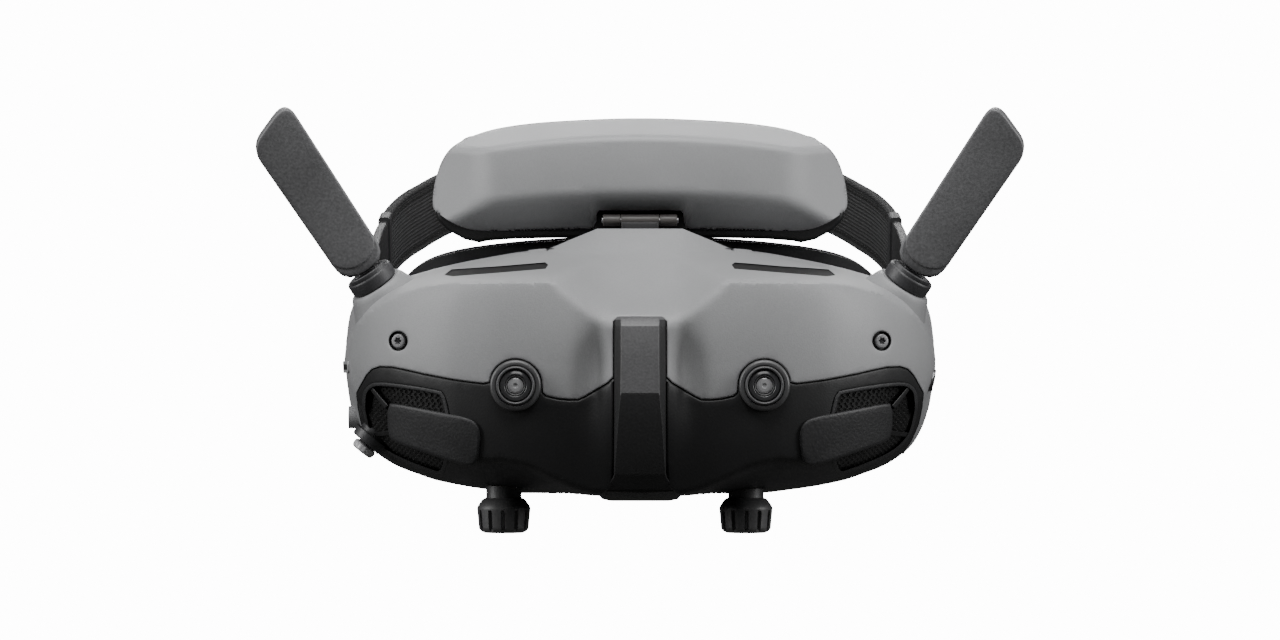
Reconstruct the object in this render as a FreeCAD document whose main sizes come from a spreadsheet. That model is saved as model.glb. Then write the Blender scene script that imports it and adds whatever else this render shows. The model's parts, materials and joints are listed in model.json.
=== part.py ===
# Head-worn video goggles, parametric model, millimetres.
# Frame: +X to the wearer's left, +Y towards the wearer's head, +Z up.
# Origin: the middle of the face seat, at eye height, where the brow touches the foam.
import FreeCAD, Part
import math
import os
from FreeCAD import Vector as V3, Placement, Rotation

doc = FreeCAD.newDocument("Goggles")
sheet = doc.addObject("Spreadsheet::Sheet", "Sheet")

# ---------------------------------------------------------------- driving dimensions
DIMS = [
    ("half_width", 79.4), ("rear_split", -34.0), ("rear_plane", -24.0), ("wall", 2.2),
    ("eye_left", 28.0), ("eye_right", -36.0), ("ipd_travel", 8.0), ("eye_height", 0.0),
    ("barrel_rad", 16.4), ("barrel_bore", 16.5), ("barrel_front", -56.0), ("barrel_back", -27.0),
    ("lens_rad", 15.6), ("lens_thick", 6.0),
    ("rail_rad", 1.5), ("rail_clear", 0.06), ("rail_len", 112.0), ("rail_y", -47.0), ("rail_z", 21.5),
    ("carriage_w", 38.0), ("carriage_depth", 8.0), ("carriage_h", 48.0),
    ("knob_y", -58.0), ("knob_rad", 7.07), ("knob_foot_rad", 6.6), ("knob_top_rad", 5.6), ("knob_end_rad", 5.13),
    ("knob_top_z", -33.1), ("knob_wide_z", -35.8), ("knob_edge_z", -40.9), ("knob_end_z", -42.2),
    ("knob_slots", 10), ("slot_w", 1.3), ("slot_depth", 1.1), ("slot_len", 3.4),
    ("neck_rad", 4.7), ("neck_top_z", -29.7), ("stem_rad", 2.2), ("stem_top_z", -23.6), ("knob_push", 3.0),
    ("cam_x", 31.9), ("cam_z", -2.8), ("cam_ring_rad", 6.66), ("cam_face_rad", 5.0), ("cam_glass_rad", 4.1), ("cam_front", -101.0),
    ("screw_x", 62.4), ("screw_z", 8.8), ("screw_head_rad", 2.25), ("screw_rad", 1.2),
    ("strip_w", 13.4), ("strip_top", 14.0), ("strip_bottom", -30.0), ("strip_front", -104.0), ("strip_back", -97.0),
    ("board_w", 84.0), ("board_h", 38.0), ("board_t", 1.6), ("board_y", -80.0),
    ("sink_w", 36.0), ("sink_h", 20.0), ("fin_t", 1.2), ("fin_pitch", 4.35), ("fin_depth", 5.0), ("fin_base", 1.6),
    ("fan_x", 52.5), ("fan_z", -5.0), ("fan_rad", 11.5), ("fan_front", -74.0), ("fan_depth", 7.0),
    ("rotor_rad", 8.6), ("rotor_depth", 4.4), ("fan_axle", 1.0),
    ("hinge_y", -42.0), ("hinge_z", 40.7), ("hinge_barrel", 2.1), ("hinge_pin_rad", 0.8), ("hinge_len", 20.6), ("hinge_mid", 10.4),
    ("pad_half", 55.4), ("pad_top", 67.9), ("pad_bottom", 37.6), ("pad_back", -24.0), ("pad_plan_rad", 120.0),
    ("pad_base_back", -16.0), ("foam_back_rad", 95.0), ("foam_mid_y", -4.0),
    ("ant_x", 69.9), ("ant_y", -58.0), ("ant_z", 23.4), ("ant_tilt", 33.0), ("ant_lean", 15.0),
    ("collar_rad", 6.4), ("collar_len", 3.4), ("tongue_w", 4.8), ("tongue_t", 5.2), ("ant_pin_u", 8.2), ("ant_pin_rad", 1.2),
    ("paddle_len", 54.9), ("paddle_w_tip", 13.9), ("paddle_w_base", 12.7), ("paddle_t", 4.6), ("cover_t", 1.2), ("knuckle_rad", 3.3),
    ("spigot_rad", 3.5), ("spigot_len", 6.0),
    ("arm_pivot_y", -16.0), ("arm_pivot_z", 21.0), ("arm_x", 74.6), ("arm_t", 2.6), ("arm_pin_rad", 2.0),
    ("strap_w", 18.5), ("strap_t", 2.4),
    ("case_half", 47.0), ("case_bottom", 41.5), ("case_top", 72.5), ("case_front", 180.0), ("case_mid", 192.0), ("case_back", 203.0),
    ("dial_rad", 13.0), ("dial_depth", 7.0), ("dial_ribs", 20),
    ("cell_rad", 9.1), ("cell_len", 68.0),
    ("stick_rad", 3.6), ("button_rad", 3.0), ("button_travel", 0.6),
    ("jack_rad", 1.8), ("jack_len", 12.0),
]
VAL = {}
for i, (name, value) in enumerate(DIMS, start=1):
    sheet.set("A%d" % i, name)
    sheet.set("B%d" % i, str(value))
    sheet.setAlias("B%d" % i, name)
doc.recompute()
for name, _ in DIMS:
    VAL[name] = float(sheet.get(name))


class Q:
    """A size that carries both its spreadsheet expression and its value."""

    def __init__(self, s, v):
        self.s, self.v = s, float(v)

    @staticmethod
    def of(x):
        return x if isinstance(x, Q) else Q("%.5f" % float(x) if x >= 0 else "(%.5f)" % float(x), x)

    def __add__(self, o):
        o = Q.of(o)
        return Q("(%s + %s)" % (self.s, o.s), self.v + o.v)

    __radd__ = __add__

    def __sub__(self, o):
        o = Q.of(o)
        return Q("(%s - %s)" % (self.s, o.s), self.v - o.v)

    def __rsub__(self, o):
        return Q.of(o) - self

    def __mul__(self, o):
        o = Q.of(o)
        return Q("(%s * %s)" % (self.s, o.s), self.v * o.v)

    __rmul__ = __mul__

    def __truediv__(self, o):
        o = Q.of(o)
        return Q("(%s / %s)" % (self.s, o.s), self.v / o.v)

    def __neg__(self):
        return Q("(-1 * %s)" % self.s, -self.v)


class Names:
    def __getattr__(self, name):
        return Q("Sheet.%s" % name, VAL[name])


P = Names()
NODES = []          # (node name, document object)
AX = {"Z": Rotation(), "Y": Rotation(V3(1, 0, 0), -90), "X": Rotation(V3(0, 1, 0), 90),
      "-Y": Rotation(V3(1, 0, 0), 90), "-X": Rotation(V3(0, 1, 0), -90), "-Z": Rotation(V3(1, 0, 0), 180)}
counter = [0]


def uid(prefix):
    counter[0] += 1
    return "%s_%d" % (prefix, counter[0])


def bind(obj, prop, q):
    q = Q.of(q)
    obj.setExpression(prop, q.s)
    return q.v


def place(obj, x, y, z, rot=None):
    x, y, z = Q.of(x), Q.of(y), Q.of(z)
    obj.Placement = Placement(V3(x.v, y.v, z.v), rot or Rotation())
    for k, q in (("x", x), ("y", y), ("z", z)):
        if "Sheet" in q.s:
            obj.setExpression("Placement.Base.%s" % k, q.s)
    return obj


def cyl(r, h, x=0, y=0, z=0, axis="Z", rot=None):
    o = doc.addObject("Part::Cylinder", uid("cyl"))
    bind(o, "Radius", r)
    bind(o, "Height", h)
    return place(o, x, y, z, rot or AX[axis])


def cone(r1, r2, h, x=0, y=0, z=0, axis="Z", rot=None):
    o = doc.addObject("Part::Cone", uid("cone"))
    bind(o, "Radius1", r1)
    bind(o, "Radius2", r2)
    bind(o, "Height", h)
    return place(o, x, y, z, rot or AX[axis])


def box(lx, ly, lz, x=0, y=0, z=0, rot=None):
    """A box with its lowest corner at x, y, z."""
    o = doc.addObject("Part::Box", uid("box"))
    bind(o, "Length", lx)
    bind(o, "Width", ly)
    bind(o, "Height", lz)
    return place(o, x, y, z, rot)


def cbox(lx, ly, lz, x, y, z):
    """A box centred on x, y, z."""
    lx, ly, lz = Q.of(lx), Q.of(ly), Q.of(lz)
    return box(lx, ly, lz, Q.of(x) - lx / 2, Q.of(y) - ly / 2, Q.of(z) - lz / 2)


def cut(a, *tools):
    tool = tools[0] if len(tools) == 1 else fuse(*tools)
    o = doc.addObject("Part::Cut", uid("cut"))
    o.Base, o.Tool = a, tool
    return o


def fuse(*shapes):
    o = doc.addObject("Part::MultiFuse", uid("fuse"))
    o.Shapes = list(shapes)
    return o


def common(*shapes):
    o = doc.addObject("Part::MultiCommon", uid("common"))
    o.Shapes = list(shapes)
    return o


def raw(shape, name=None):
    o = doc.addObject("Part::Feature", uid(name or "shape"))
    o.Shape = shape
    return o


def group(*objs):
    """Several separate solids that share one node."""
    o = doc.addObject("Part::Compound", uid("group"))
    o.Links = list(objs)
    return o


def node(name, obj):
    obj.Label = name
    NODES.append((name, obj))
    return obj


def origin_plane(body, role):
    return [f for f in body.Origin.OriginFeatures if f.Role == role][0]


def new_sketch(body, role):
    sk = body.newObject("Sketcher::SketchObject", uid("sketch"))
    sk.AttachmentSupport = [(origin_plane(body, role), "")]
    sk.MapMode = "FlatFace"
    return sk


def polygon(sk, pts):
    """Straight-sided closed profile; each corner is held by two bound distances."""
    import Sketcher
    pts = [(Q.of(a), Q.of(b)) for a, b in pts]
    n = len(pts)
    for i in range(n):
        a, b = pts[i], pts[(i + 1) % n]
        sk.addGeometry(Part.LineSegment(V3(a[0].v, a[1].v, 0), V3(b[0].v, b[1].v, 0)), False)
    for i in range(n):
        sk.addConstraint(Sketcher.Constraint("Coincident", i, 2, (i + 1) % n, 1))
    for i in range(n):
        for kind, q in (("DistanceX", pts[i][0]), ("DistanceY", pts[i][1])):
            if abs(q.v) < 1e-9:
                sk.addConstraint(Sketcher.Constraint("PointOnObject", i, 1, -2 if kind == "DistanceX" else -1))
                continue
            c = sk.addConstraint(Sketcher.Constraint(kind, -1, 1, i, 1, q.v))
            if "Sheet" in q.s:
                sk.setExpression("Constraints[%d]" % c, q.s)


def circle(sk, r, x=0, y=0):
    import Sketcher
    r, x, y = Q.of(r), Q.of(x), Q.of(y)
    g = sk.addGeometry(Part.Circle(V3(x.v, y.v, 0), V3(0, 0, 1), r.v), False)
    c = sk.addConstraint(Sketcher.Constraint("Radius", g, r.v))
    if "Sheet" in r.s:
        sk.setExpression("Constraints[%d]" % c, r.s)
    for kind, q in (("DistanceX", x), ("DistanceY", y)):
        if abs(q.v) < 1e-9:
            sk.addConstraint(Sketcher.Constraint("PointOnObject", g, 3, -2 if kind == "DistanceX" else -1))
        else:
            c = sk.addConstraint(Sketcher.Constraint(kind, -1, 1, g, 3, q.v))
            if "Sheet" in q.s:
                sk.setExpression("Constraints[%d]" % c, q.s)


def body(label_hint):
    return doc.addObject("PartDesign::Body", uid(label_hint))


def pd_pad(pts, length, role="XZ_Plane", reverse=False, mid=False, fillet=None, hint="body"):
    b = body(hint)
    sk = new_sketch(b, role)
    if callable(pts):
        pts(sk)
    else:
        polygon(sk, pts)
    pad = b.newObject("PartDesign::Pad", uid("pad"))
    pad.Profile = sk
    bind(pad, "Length", length)
    pad.Reversed = reverse
    if mid:
        try:
            pad.SideType = "Symmetric"
        except Exception:
            pad.Midplane = True
    sk.Visibility = False
    doc.recompute()
    if fillet:
        fl = b.newObject("PartDesign::Fillet", uid("fillet"))
        edges = fillet[1](pad.Shape)
        fl.Base = (pad, edges)
        fl.Radius = Q.of(fillet[0]).v
        if "Sheet" in Q.of(fillet[0]).s:
            fl.setExpression("Radius", Q.of(fillet[0]).s)
        doc.recompute()
    return b


def pd_revolve(profile, hint="body"):
    """Profile of (radius, height) corners in the XZ plane, turned about the body's own Z axis."""
    b = body(hint)
    sk = new_sketch(b, "XZ_Plane")
    polygon(sk, profile)
    rv = b.newObject("PartDesign::Revolution", uid("revolution"))
    rv.Profile = sk
    rv.ReferenceAxis = (sk, ["V_Axis"])
    rv.Angle = 360.0
    doc.recompute()
    return b


def spline_face(pts):
    """A closed smooth outline in the XZ plane, as a face at y = 0."""
    c = Part.BSplineCurve()
    c.interpolate(Points=[V3(x, 0, z) for x, z in pts], PeriodicFlag=True)
    return Part.Face(Part.Wire([c.toShape()]))


def mirror_pts(half):
    """Completes a half outline, listed from the top middle round to the bottom middle, to the full loop."""
    left = [(-x, z) for x, z in reversed(half) if x > 1e-6]
    return list(half) + left


# ---------------------------------------------------------------- envelope of the main housing
# station: half position, top, crease, bottom, front
ST = [
    (0.0, 33.4, 24.0, -33.8, -99.5),
    (10.0, 33.4, 24.0, -33.4, -99.0),
    (20.0, 33.2, 24.0, -32.6, -98.6),
    (33.0, 32.0, 24.0, -32.0, -97.6),
    (47.0, 29.8, 23.6, -30.8, -93.0),
    (60.0, 27.2, 22.4, -27.4, -84.0),
    (69.0, 23.6, 19.0, -23.4, -74.5),
    (74.0, 20.6, 15.6, -20.4, -67.0),
    (77.6, 15.0, 10.0, -11.5, -58.0),
    (VAL["half_width"], 6.0, 3.4, -3.0, -48.0),
]


def station_wire(x, zt, zc, zb, yf, off, yr):
    """One closed section of the housing at x, moved inwards by off."""
    zt, zc, zb, yf = zt - off, zc - off * 0.6, zb + off, yf + off
    ym = 0.5 * (yf + yr)
    k = min(1.0, (yr - yf) / 70.0)
    h = zc - zb
    pts = [
        (yr, zt - 0.6), (ym, zt), (yf + 16 * k, zt - 0.10 * (zt - zc)), (yf + 8 * k, zt - 0.45 * (zt - zc)),
        (yf + 1.6 * k, zc), (yf, zc - 0.30 * h), (yf + 1.5 * k, zc - 0.62 * h), (yf + 8 * k, zb + 0.12 * h),
        (yf + 20 * k, zb + 0.02 * h), (ym + 6 * k, zb), (yr, zb + 0.4),
    ]
    c = Part.BSplineCurve()
    c.interpolate(Points=[V3(x, y, z) for y, z in pts])
    a, b = V3(x, pts[-1][0], pts[-1][1]), V3(x, pts[0][0], pts[0][1])
    return Part.Wire([c.toShape(), Part.LineSegment(a, b).toShape()])


def envelope(off, yr, x_end=None):
    wires = []
    rows = [s for s in ST]
    hw = VAL["half_width"]
    scale = (hw - off) / hw
    full = [(-s[0], *s[1:]) for s in reversed(rows) if s[0] > 0] + rows
    for s in full:
        wires.append(station_wire(s[0] * scale, s[1], s[2], s[3], s[4], off, yr))
    return Part.makeLoft(wires, True, False)


W = VAL["wall"]
outer = envelope(0.0, VAL["rear_plane"])
inner = envelope(W, VAL["rear_plane"] - W)

# centre ridge that carries the brow pad's hinge
def ridge(off):
    rows = [
        (-98.0, [(-9, 8), (9, 8), (8.5, 13), (6.5, 17.5), (-6.5, 17.5), (-8.5, 13)]),
        (-88.0, [(-14, 14), (14, 14), (12, 20), (8.5, 24.0), (-8.5, 24.0), (-12, 20)]),
        (-72.0, [(-20, 24), (20, 24), (16, 28.6), (10, 31.6), (-10, 31.6), (-16, 28.6)]),
        (-48.0, [(-27, 26), (27, 26), (21, 33.6), (11.4, 38.3), (-11.4, 38.3), (-21, 33.6)]),
    ]
    wires = []
    for y, pts in rows:
        p = [V3(x * (1 - off / 14.0), y + (off if y == -98.0 else 0) - (off if y == -48.0 else 0), z - off) for x, z in pts]
        wires.append(Part.makePolygon(p + [p[0]]))
    return Part.makeLoft(wires, True, False)


def ant_axis(sign):
    a, b = math.radians(VAL["ant_tilt"]), math.radians(VAL["ant_lean"])
    c = V3(sign * math.sin(a) * math.cos(b), -math.sin(b), math.cos(a) * math.cos(b))
    w = V3(math.cos(a), 0, -sign * math.sin(a))
    if sign < 0:
        w = V3(math.cos(a), 0, math.sin(a))
    n = c.cross(w)          # points to the back
    base = V3(sign * VAL["ant_x"], VAL["ant_y"], VAL["ant_z"])
    m = FreeCAD.Matrix(w.x, n.x, c.x, 0, w.y, n.y, c.y, 0, w.z, n.z, c.z, 0, 0, 0, 0, 1)
    return base, c, w, n, Rotation(Placement(m).Rotation)


def boss(sign, off):
    base, c, w, n, rot = ant_axis(sign)
    s = Part.makeCone(13.0 - off, 7.3 - off, 12.0, base - c * 12.0, c)
    return s


shell = outer.fuse([ridge(0), boss(1, 0), boss(-1, 0)]).removeSplitter()
core = inner.fuse([ridge(W)])
hollow = shell.cut(core)

# seam between the light upper shell and the dark lower cover, seen along Y
SEAM = [
    (70.0, -60.0), (70.0, -22.7), (72.0, -19.2), (74.1, -13.7), (74.5, -9.0), (74.1, -6.0), (72.5, -1.6),
    (70.6, 0.2), (68.0, 1.4), (62.2, 1.3), (39.6, -2.3),
]
ring_c = (VAL["cam_x"], VAL["cam_z"])
ring_r = VAL["cam_ring_rad"] + 0.15
arc = []
for i in range(0, 15):
    a = math.radians(8 + i * (188 - 8) / 14.0)
    arc.append((ring_c[0] + ring_r * math.cos(a), ring_c[1] + ring_r * math.sin(a)))
half = SEAM[:-1] + [(ring_c[0] + ring_r + 0.6, -2.3)] + arc + [
    (25.2, -5.7), (16.8, -7.0), (12.4, -6.5), (7.6, -2.9), (6.75, -0.8), (6.75, 14.05), ]
loop = half + [(-x, z) for x, z in reversed(half)]


def prism(pts, y0, y1):
    p = [V3(x, y0, z) for x, z in pts]
    return Part.Face(Part.makePolygon(p + [p[0]])).extrude(V3(0, y1 - y0, 0))


low_prism = prism(loop, -130.0, VAL["rear_split"])
front_half = Part.makeBox(260, 130 + VAL["rear_split"], 200, V3(-130, -130, -100))
front_hollow = hollow.common(front_half)
rear_hollow = hollow.cut(front_half)
upper = front_hollow.cut(low_prism)
lower = front_hollow.common(low_prism)

# ---- cut-outs of the upper shell
cuts_upper = []
for sgn in (1, -1):
    base, c, w, n, rot = ant_axis(sgn)
    cuts_upper.append(Part.makeCylinder(VAL["spigot_rad"] + 0.06, 30, base - c * 20.0, c))
    cuts_upper.append(Part.makeCylinder(9.0, 30, base, c))
    cuts_upper.append(Part.makeCylinder(VAL["screw_head_rad"] + 0.35, 21.4, V3(sgn * VAL["screw_x"], -100, VAL["screw_z"]), V3(0, 1, 0)))
    # vent slot in the top deck
    cuts_upper.append(Part.makeBox(26, 4.4, 20, V3(sgn * 38 - 13, -80, 18)))
cuts_upper.append(Part.makeCylinder(VAL["button_rad"] + 0.3, 14, V3(-84, -42, -12), V3(1, 0, 0)))
# ports in the wearer's left wall, card slot and buttons in the right wall
cuts_upper.append(Part.makeCylinder(VAL["jack_rad"] + 1.2, 12, V3(70, -52, -2), V3(1, 0, 0)))
cuts_upper.append(Part.makeBox(14, 9.4, 3.6, V3(68, -46.7, -3.8)))
cuts_upper.append(Part.makeBox(14, 12.0, 1.8, V3(-82, -58, 0.6)))
# keep the boss hollow away from the inside: cut away what reaches the inner space
upper = upper.cut(cuts_upper)

# screw seats: a boss behind each front screw
for sgn in (1, -1):
    seat = Part.makeCylinder(4.2, 8.0, V3(sgn * VAL["screw_x"], -79.0, VAL["screw_z"]), V3(0, 1, 0))
    seat = seat.cut(Part.makeCylinder(VAL["screw_rad"] + 0.05, 40, V3(sgn * VAL["screw_x"], -100, VAL["screw_z"]), V3(0, 1, 0)))
    seat = seat.cut(Part.makeCylinder(VAL["screw_head_rad"] + 0.35, 21.4, V3(sgn * VAL["screw_x"], -100, VAL["screw_z"]), V3(0, 1, 0)))
    seat = seat.common(outer)
    upper = upper.fuse(seat).cut(Part.makeCylinder(VAL["screw_rad"] + 0.05, 40, V3(sgn * VAL["screw_x"], -100, VAL["screw_z"]), V3(0, 1, 0)))

# ---- cut-outs of the lower cover
VENT = [(45.0, -3.6), (66.5, -0.9), (70.6, -3.4), (71.8, -9.0), (70.6, -15.5), (66.5, -20.0), (48.0, -26.0), (42.6, -24.6)]
BLOCK = [(35.6, -7.8), (62.6, -5.2), (66.4, -9.2), (65.4, -17.0), (60.0, -19.4), (37.6, -24.2), (35.0, -20.0)]
cuts_lower = []
knob_floor = []
for sgn in (1, -1):
    cuts_lower.append(prism([(sgn * x, z) for x, z in VENT], -120, -72))
    cuts_lower.append(Part.makeCylinder(VAL["cam_face_rad"] + 0.2, 60, V3(sgn * VAL["cam_x"], -120, VAL["cam_z"]), V3(0, 1, 0)))
    x0 = VAL["eye_left"] if sgn > 0 else VAL["eye_right"]
    r_p, r_n = VAL["knob_rad"] + 0.5, VAL["neck_rad"] + 0.35

    def obround(r, z0, z1, grow=0.0):
        t = VAL["ipd_travel"]
        a = Part.makeCylinder(r + grow, z1 - z0, V3(x0, VAL["knob_y"], z0))
        b = Part.makeCylinder(r + grow, z1 - z0, V3(x0 + t, VAL["knob_y"], z0))
        m = Part.makeBox(t, 2 * (r + grow), z1 - z0, V3(x0, VAL["knob_y"] - r - grow, z0))
        return a.fuse([b, m])

    knob_floor.append((obround(r_p, -31.4, -27.4, 1.6).common(outer), obround(r_p, -60, -29.5), obround(r_n, -60, -20)))
lower = lower.cut(cuts_lower)
for add, pocket, hole in knob_floor:
    lower = lower.fuse(add).cut([pocket, hole])
# seat of the nose strip
sw = VAL["strip_w"] / 2.0
strip_seat = Part.makeBox(2 * sw + 0.3, 14, 60, V3(-sw - 0.15, -110, -30.15))
lower = lower.cut(strip_seat)
lower = lower.cut(Part.makeCylinder(VAL["stick_rad"] + 1.5, 14, V3(-73.6, -52.0, -20.4) - V3(0.62, 0, 0.78) * 10.0, V3(0.62, 0, 0.78)))
upper = upper.cut(Part.makeCylinder(VAL["stick_rad"] + 1.5, 14, V3(-73.6, -52.0, -20.4) - V3(0.62, 0, 0.78) * 10.0, V3(0.62, 0, 0.78)))


def biggest(shape):
    s = sorted(shape.Solids, key=lambda t: -t.Volume)
    return s[0]


node("upper_shell", raw(biggest(upper), "upper"))
node("lower_cover", raw(biggest(lower), "lower"))

# ---------------------------------------------------------------- rear housing, with the two eyepiece windows
win = []
for sgn in (1, -1):
    x0 = VAL["eye_left"] if sgn > 0 else VAL["eye_right"]
    r = VAL["barrel_rad"] + 0.5
    t = VAL["ipd_travel"]
    win += [Part.makeCylinder(r, 40, V3(x0, -50, 0), V3(0, 1, 0)), Part.makeCylinder(r, 40, V3(x0 + t, -50, 0), V3(0, 1, 0)),
            Part.makeBox(t, 40, 2 * r, V3(x0, -50, -r))]
rear = rear_hollow.cut(win)
for sgn in (1, -1):
    xi = sgn * 69.8
    lug = Part.makeBox(3.0, 23.6, 12.0, V3(xi - 1.5, -35.6 + 2.0, 15.0))
    lug = lug.cut(Part.makeCylinder(VAL["arm_pin_rad"] + 0.0, 30, V3(xi - 15, VAL["arm_pivot_y"], VAL["arm_pivot_z"]), V3(1, 0, 0)))
    rear = rear.fuse(lug)
node("rear_housing", raw(biggest(rear), "rear"))

# ---------------------------------------------------------------- nose strip
strip = pd_pad([(-P.strip_w / 2, P.strip_bottom), (P.strip_w / 2, P.strip_bottom), (P.strip_w / 2, P.strip_top - 1.2),
                (P.strip_w / 2 - 1.2, P.strip_top), (-P.strip_w / 2 + 1.2, P.strip_top), (-P.strip_w / 2, P.strip_top - 1.2)],
               P.strip_back - P.strip_front, "XZ_Plane", reverse=False, hint="strip")
place(strip, 0, P.strip_back, 0)
wedge = pd_pad([(P.strip_front - 3, P.strip_bottom - 3), (P.strip_front + 6.4, P.strip_bottom - 3), (P.strip_front + 3.2, -26.5),
                (P.strip_front + 0.2, -7.0), (P.strip_front + 0.2, 12.0), (P.strip_front + 2.0, P.strip_top + 1), (P.strip_front - 3, P.strip_top + 1)],
               P.strip_w + 4, "YZ_Plane", mid=True, hint="wedge")
node("nose_strip", cut(strip, wedge))

# ---------------------------------------------------------------- intake louvres and meshes
def inset_prism(pts, y0, y1, k):
    cx = sum(p[0] for p in pts) / len(pts)
    cz = sum(p[1] for p in pts) / len(pts)
    return prism([(cx + (x - cx) * k, cz + (z - cz) * k) for x, z in pts], y0, y1)


louv, mesh = [], []
for sgn in (1, -1):
    V = [(sgn * x, z) for x, z in VENT]
    B = [(sgn * x, z) for x, z in BLOCK]
    blk = inset_prism(B, -92.0, -74.0, 1.0).common(inset_prism(V, -130, -60, 0.985)).common(envelope(-1.2, VAL["rear_plane"]))
    rim = inset_prism(V, -84.0, -74.0, 0.985).cut(inset_prism(V, -90, -70, 0.90)).common(envelope(W * 0.5, VAL["rear_plane"]))
    bars = []
    for (xa, za, xb, zb) in ((63.0, -6.5, 71.0, -2.8), (62.0, -17.6, 70.5, -17.0)):
        d = V3(sgn * (xb - xa), 0, zb - za)
        L = d.Length
        d.normalize()
        bar = Part.makeBox(L, 4.0, 1.3, V3(0, 0, -0.65))
        bar.Placement = Placement(V3(sgn * xa, -80.0, za), Rotation(V3(1, 0, 0), d))
        bars.append(bar.common(inset_prism(V, -130, -60, 0.985)))
    lv = blk.fuse([rim] + bars)
    lv = biggest(lv)
    louv.append(raw(lv, "louvre"))
    plate = inset_prism(V, -72.6, -71.8, 1.03)
    holes = []
    plate = plate.common(envelope(W + 0.05, VAL["rear_plane"]))
    if plate.Volume > 1:
        mesh.append(raw(biggest(plate), "mesh"))
doc.recompute()
node("intake_louvres", group(*louv))
top_mesh = []
for sgn in (1, -1):
    m_ = cbox(25.6, 4.0, 0.8, sgn * 38.0, -77.8, 21.2)
    top_mesh.append(m_)
doc.recompute()
node("vent_meshes", group(*(mesh + top_mesh)))

# ---------------------------------------------------------------- front cameras
bez, mods, glass = [], [], []
for sgn in (1, -1):
    b = pd_revolve([(P.cam_glass_rad + 0.1, 0), (P.cam_face_rad, 0), (P.cam_face_rad, 7.0), (P.cam_face_rad - 0.4, 7.6), (P.cam_glass_rad + 0.1, 7.6)], "bezel")
    place(b, sgn * P.cam_x, P.cam_front + 7.6, P.cam_z, AX["-Y"])
    bez.append(b)
    m = pd_revolve([(0, 0), (P.cam_face_rad - 1.0, 0), (P.cam_face_rad - 1.0, 5.0), (2.6, 5.0), (2.6, 9.0), (0, 9.0)], "module")
    place(m, sgn * P.cam_x, P.cam_front + 12.0, P.cam_z, AX["-Y"])
    mods.append(m)
    g = cyl(P.cam_glass_rad, 0.9, sgn * P.cam_x, P.cam_front + 1.2, P.cam_z, "Y")
    glass.append(g)
doc.recompute()
node("camera_bezels", group(*bez))
node("camera_modules", group(*mods))
node("camera_glasses", group(*glass))

# ---------------------------------------------------------------- front screws, each with a socket
scr = []
for sgn in (1, -1):
    s_ = pd_revolve([(0, -8.0), (P.screw_rad, -8.0), (P.screw_rad, 0), (P.screw_head_rad, 0), (P.screw_head_rad, 1.7), (P.screw_head_rad - 0.3, 2.0), (0, 2.0)], "screw")
    sk = new_sketch(s_, "XY_Plane")
    polygon(sk, [(0.75 * math.cos(math.radians(60 * i)), 0.75 * math.sin(math.radians(60 * i))) for i in range(6)])
    sk.AttachmentOffset = Placement(V3(0, 0, 2.0), Rotation())
    pk = s_.newObject("PartDesign::Pocket", uid("socket"))
    pk.Profile = sk
    pk.Length = 1.2
    doc.recompute()
    before = pk.BaseFeature.Shape.Volume
    if abs(pk.Shape.Volume - before) < 1e-6:
        pk.Reversed = True
        doc.recompute()
    if abs(pk.Shape.Volume - before) < 1e-6:
        raise RuntimeError("a screw socket cut nothing")
    place(s_, sgn * P.screw_x, -78.6, P.screw_z, AX["-Y"])
    scr.append(s_)
doc.recompute()
node("front_screws", group(*scr))

# ---------------------------------------------------------------- boards, heat sink, fans
board = pd_pad([(-P.board_w / 2, -18.0), (P.board_w / 2, -18.0), (P.board_w / 2, P.board_h - 21.0), (-P.board_w / 2, P.board_h - 21.0)], P.board_t, "XZ_Plane", hint="board")
place(board, 0, P.board_y, 0)
node("main_board", board)
base_plate = cbox(P.sink_w, P.fin_base, P.sink_h, 0, P.board_y - P.board_t - P.fin_base / 2 - 0.1, 0)
fins = [box(P.fin_t, P.fin_depth, P.sink_h, -P.sink_w / 2 + P.fin_pitch * i, P.board_y - P.board_t - P.fin_base - P.fin_depth - 0.1, -P.sink_h / 2) for i in range(9)]
node("heat_sink", fuse(base_plate, *fins))
fans = []
for sgn in (1, -1):
    can = cyl(P.fan_rad, P.fan_depth, sgn * P.fan_x, P.fan_front + 3.0, P.fan_z, "Y")
    bore_ = cyl(P.fan_rad - 1.2, P.fan_depth - 1.2, sgn * P.fan_x, P.fan_front + 3.0 - 0.01, P.fan_z, "Y")
    hub = cyl(P.fan_axle, P.fan_depth - 1.6, sgn * P.fan_x, P.fan_front + 4.4, P.fan_z, "Y")
    fans.append(fuse(cut(can, bore_), hub))
doc.recompute()
node("fan_housings", group(*fans))
for sgn, side in ((1, "left"), (-1, "right")):
    r_ = pd_revolve([(P.fan_axle + 0.05, 0), (3.4, 0), (3.4, 1.4), (P.rotor_rad, 1.4), (P.rotor_rad, 2.0), (3.4, 2.0), (3.4, P.rotor_depth), (P.fan_axle + 0.05, P.rotor_depth)], "rotor")
    hubs = r_
    place(hubs, sgn * P.fan_x, P.fan_front + 3.6, P.fan_z, AX["Y"])
    blades = []
    for i in range(12):
        a = i * 30.0
        bl = doc.addObject("Part::Box", uid("blade"))
        bl.Length, bl.Width, bl.Height = 5.4, 0.6, 2.6
        rot_ = Rotation(V3(0, 1, 0), a)
        off = rot_.multVec(V3(3.2, 0, -0.3))
        bl.Placement = Placement(V3(0, 0, 0), Rotation())
        bl.setExpression("Placement.Base.x", (sgn * P.fan_x + off.x).s)
        bl.setExpression("Placement.Base.y", (P.fan_front + 3.6 + 4.3 + off.y).s)
        bl.setExpression("Placement.Base.z", (P.fan_z + off.z).s)
        bl.Placement.Rotation = rot_.multiply(Rotation(V3(1, 0, 0), 90))
        blades.append(bl)
    doc.recompute()
    node("fan_rotor_%s" % side, fuse(hubs, *blades))

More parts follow.
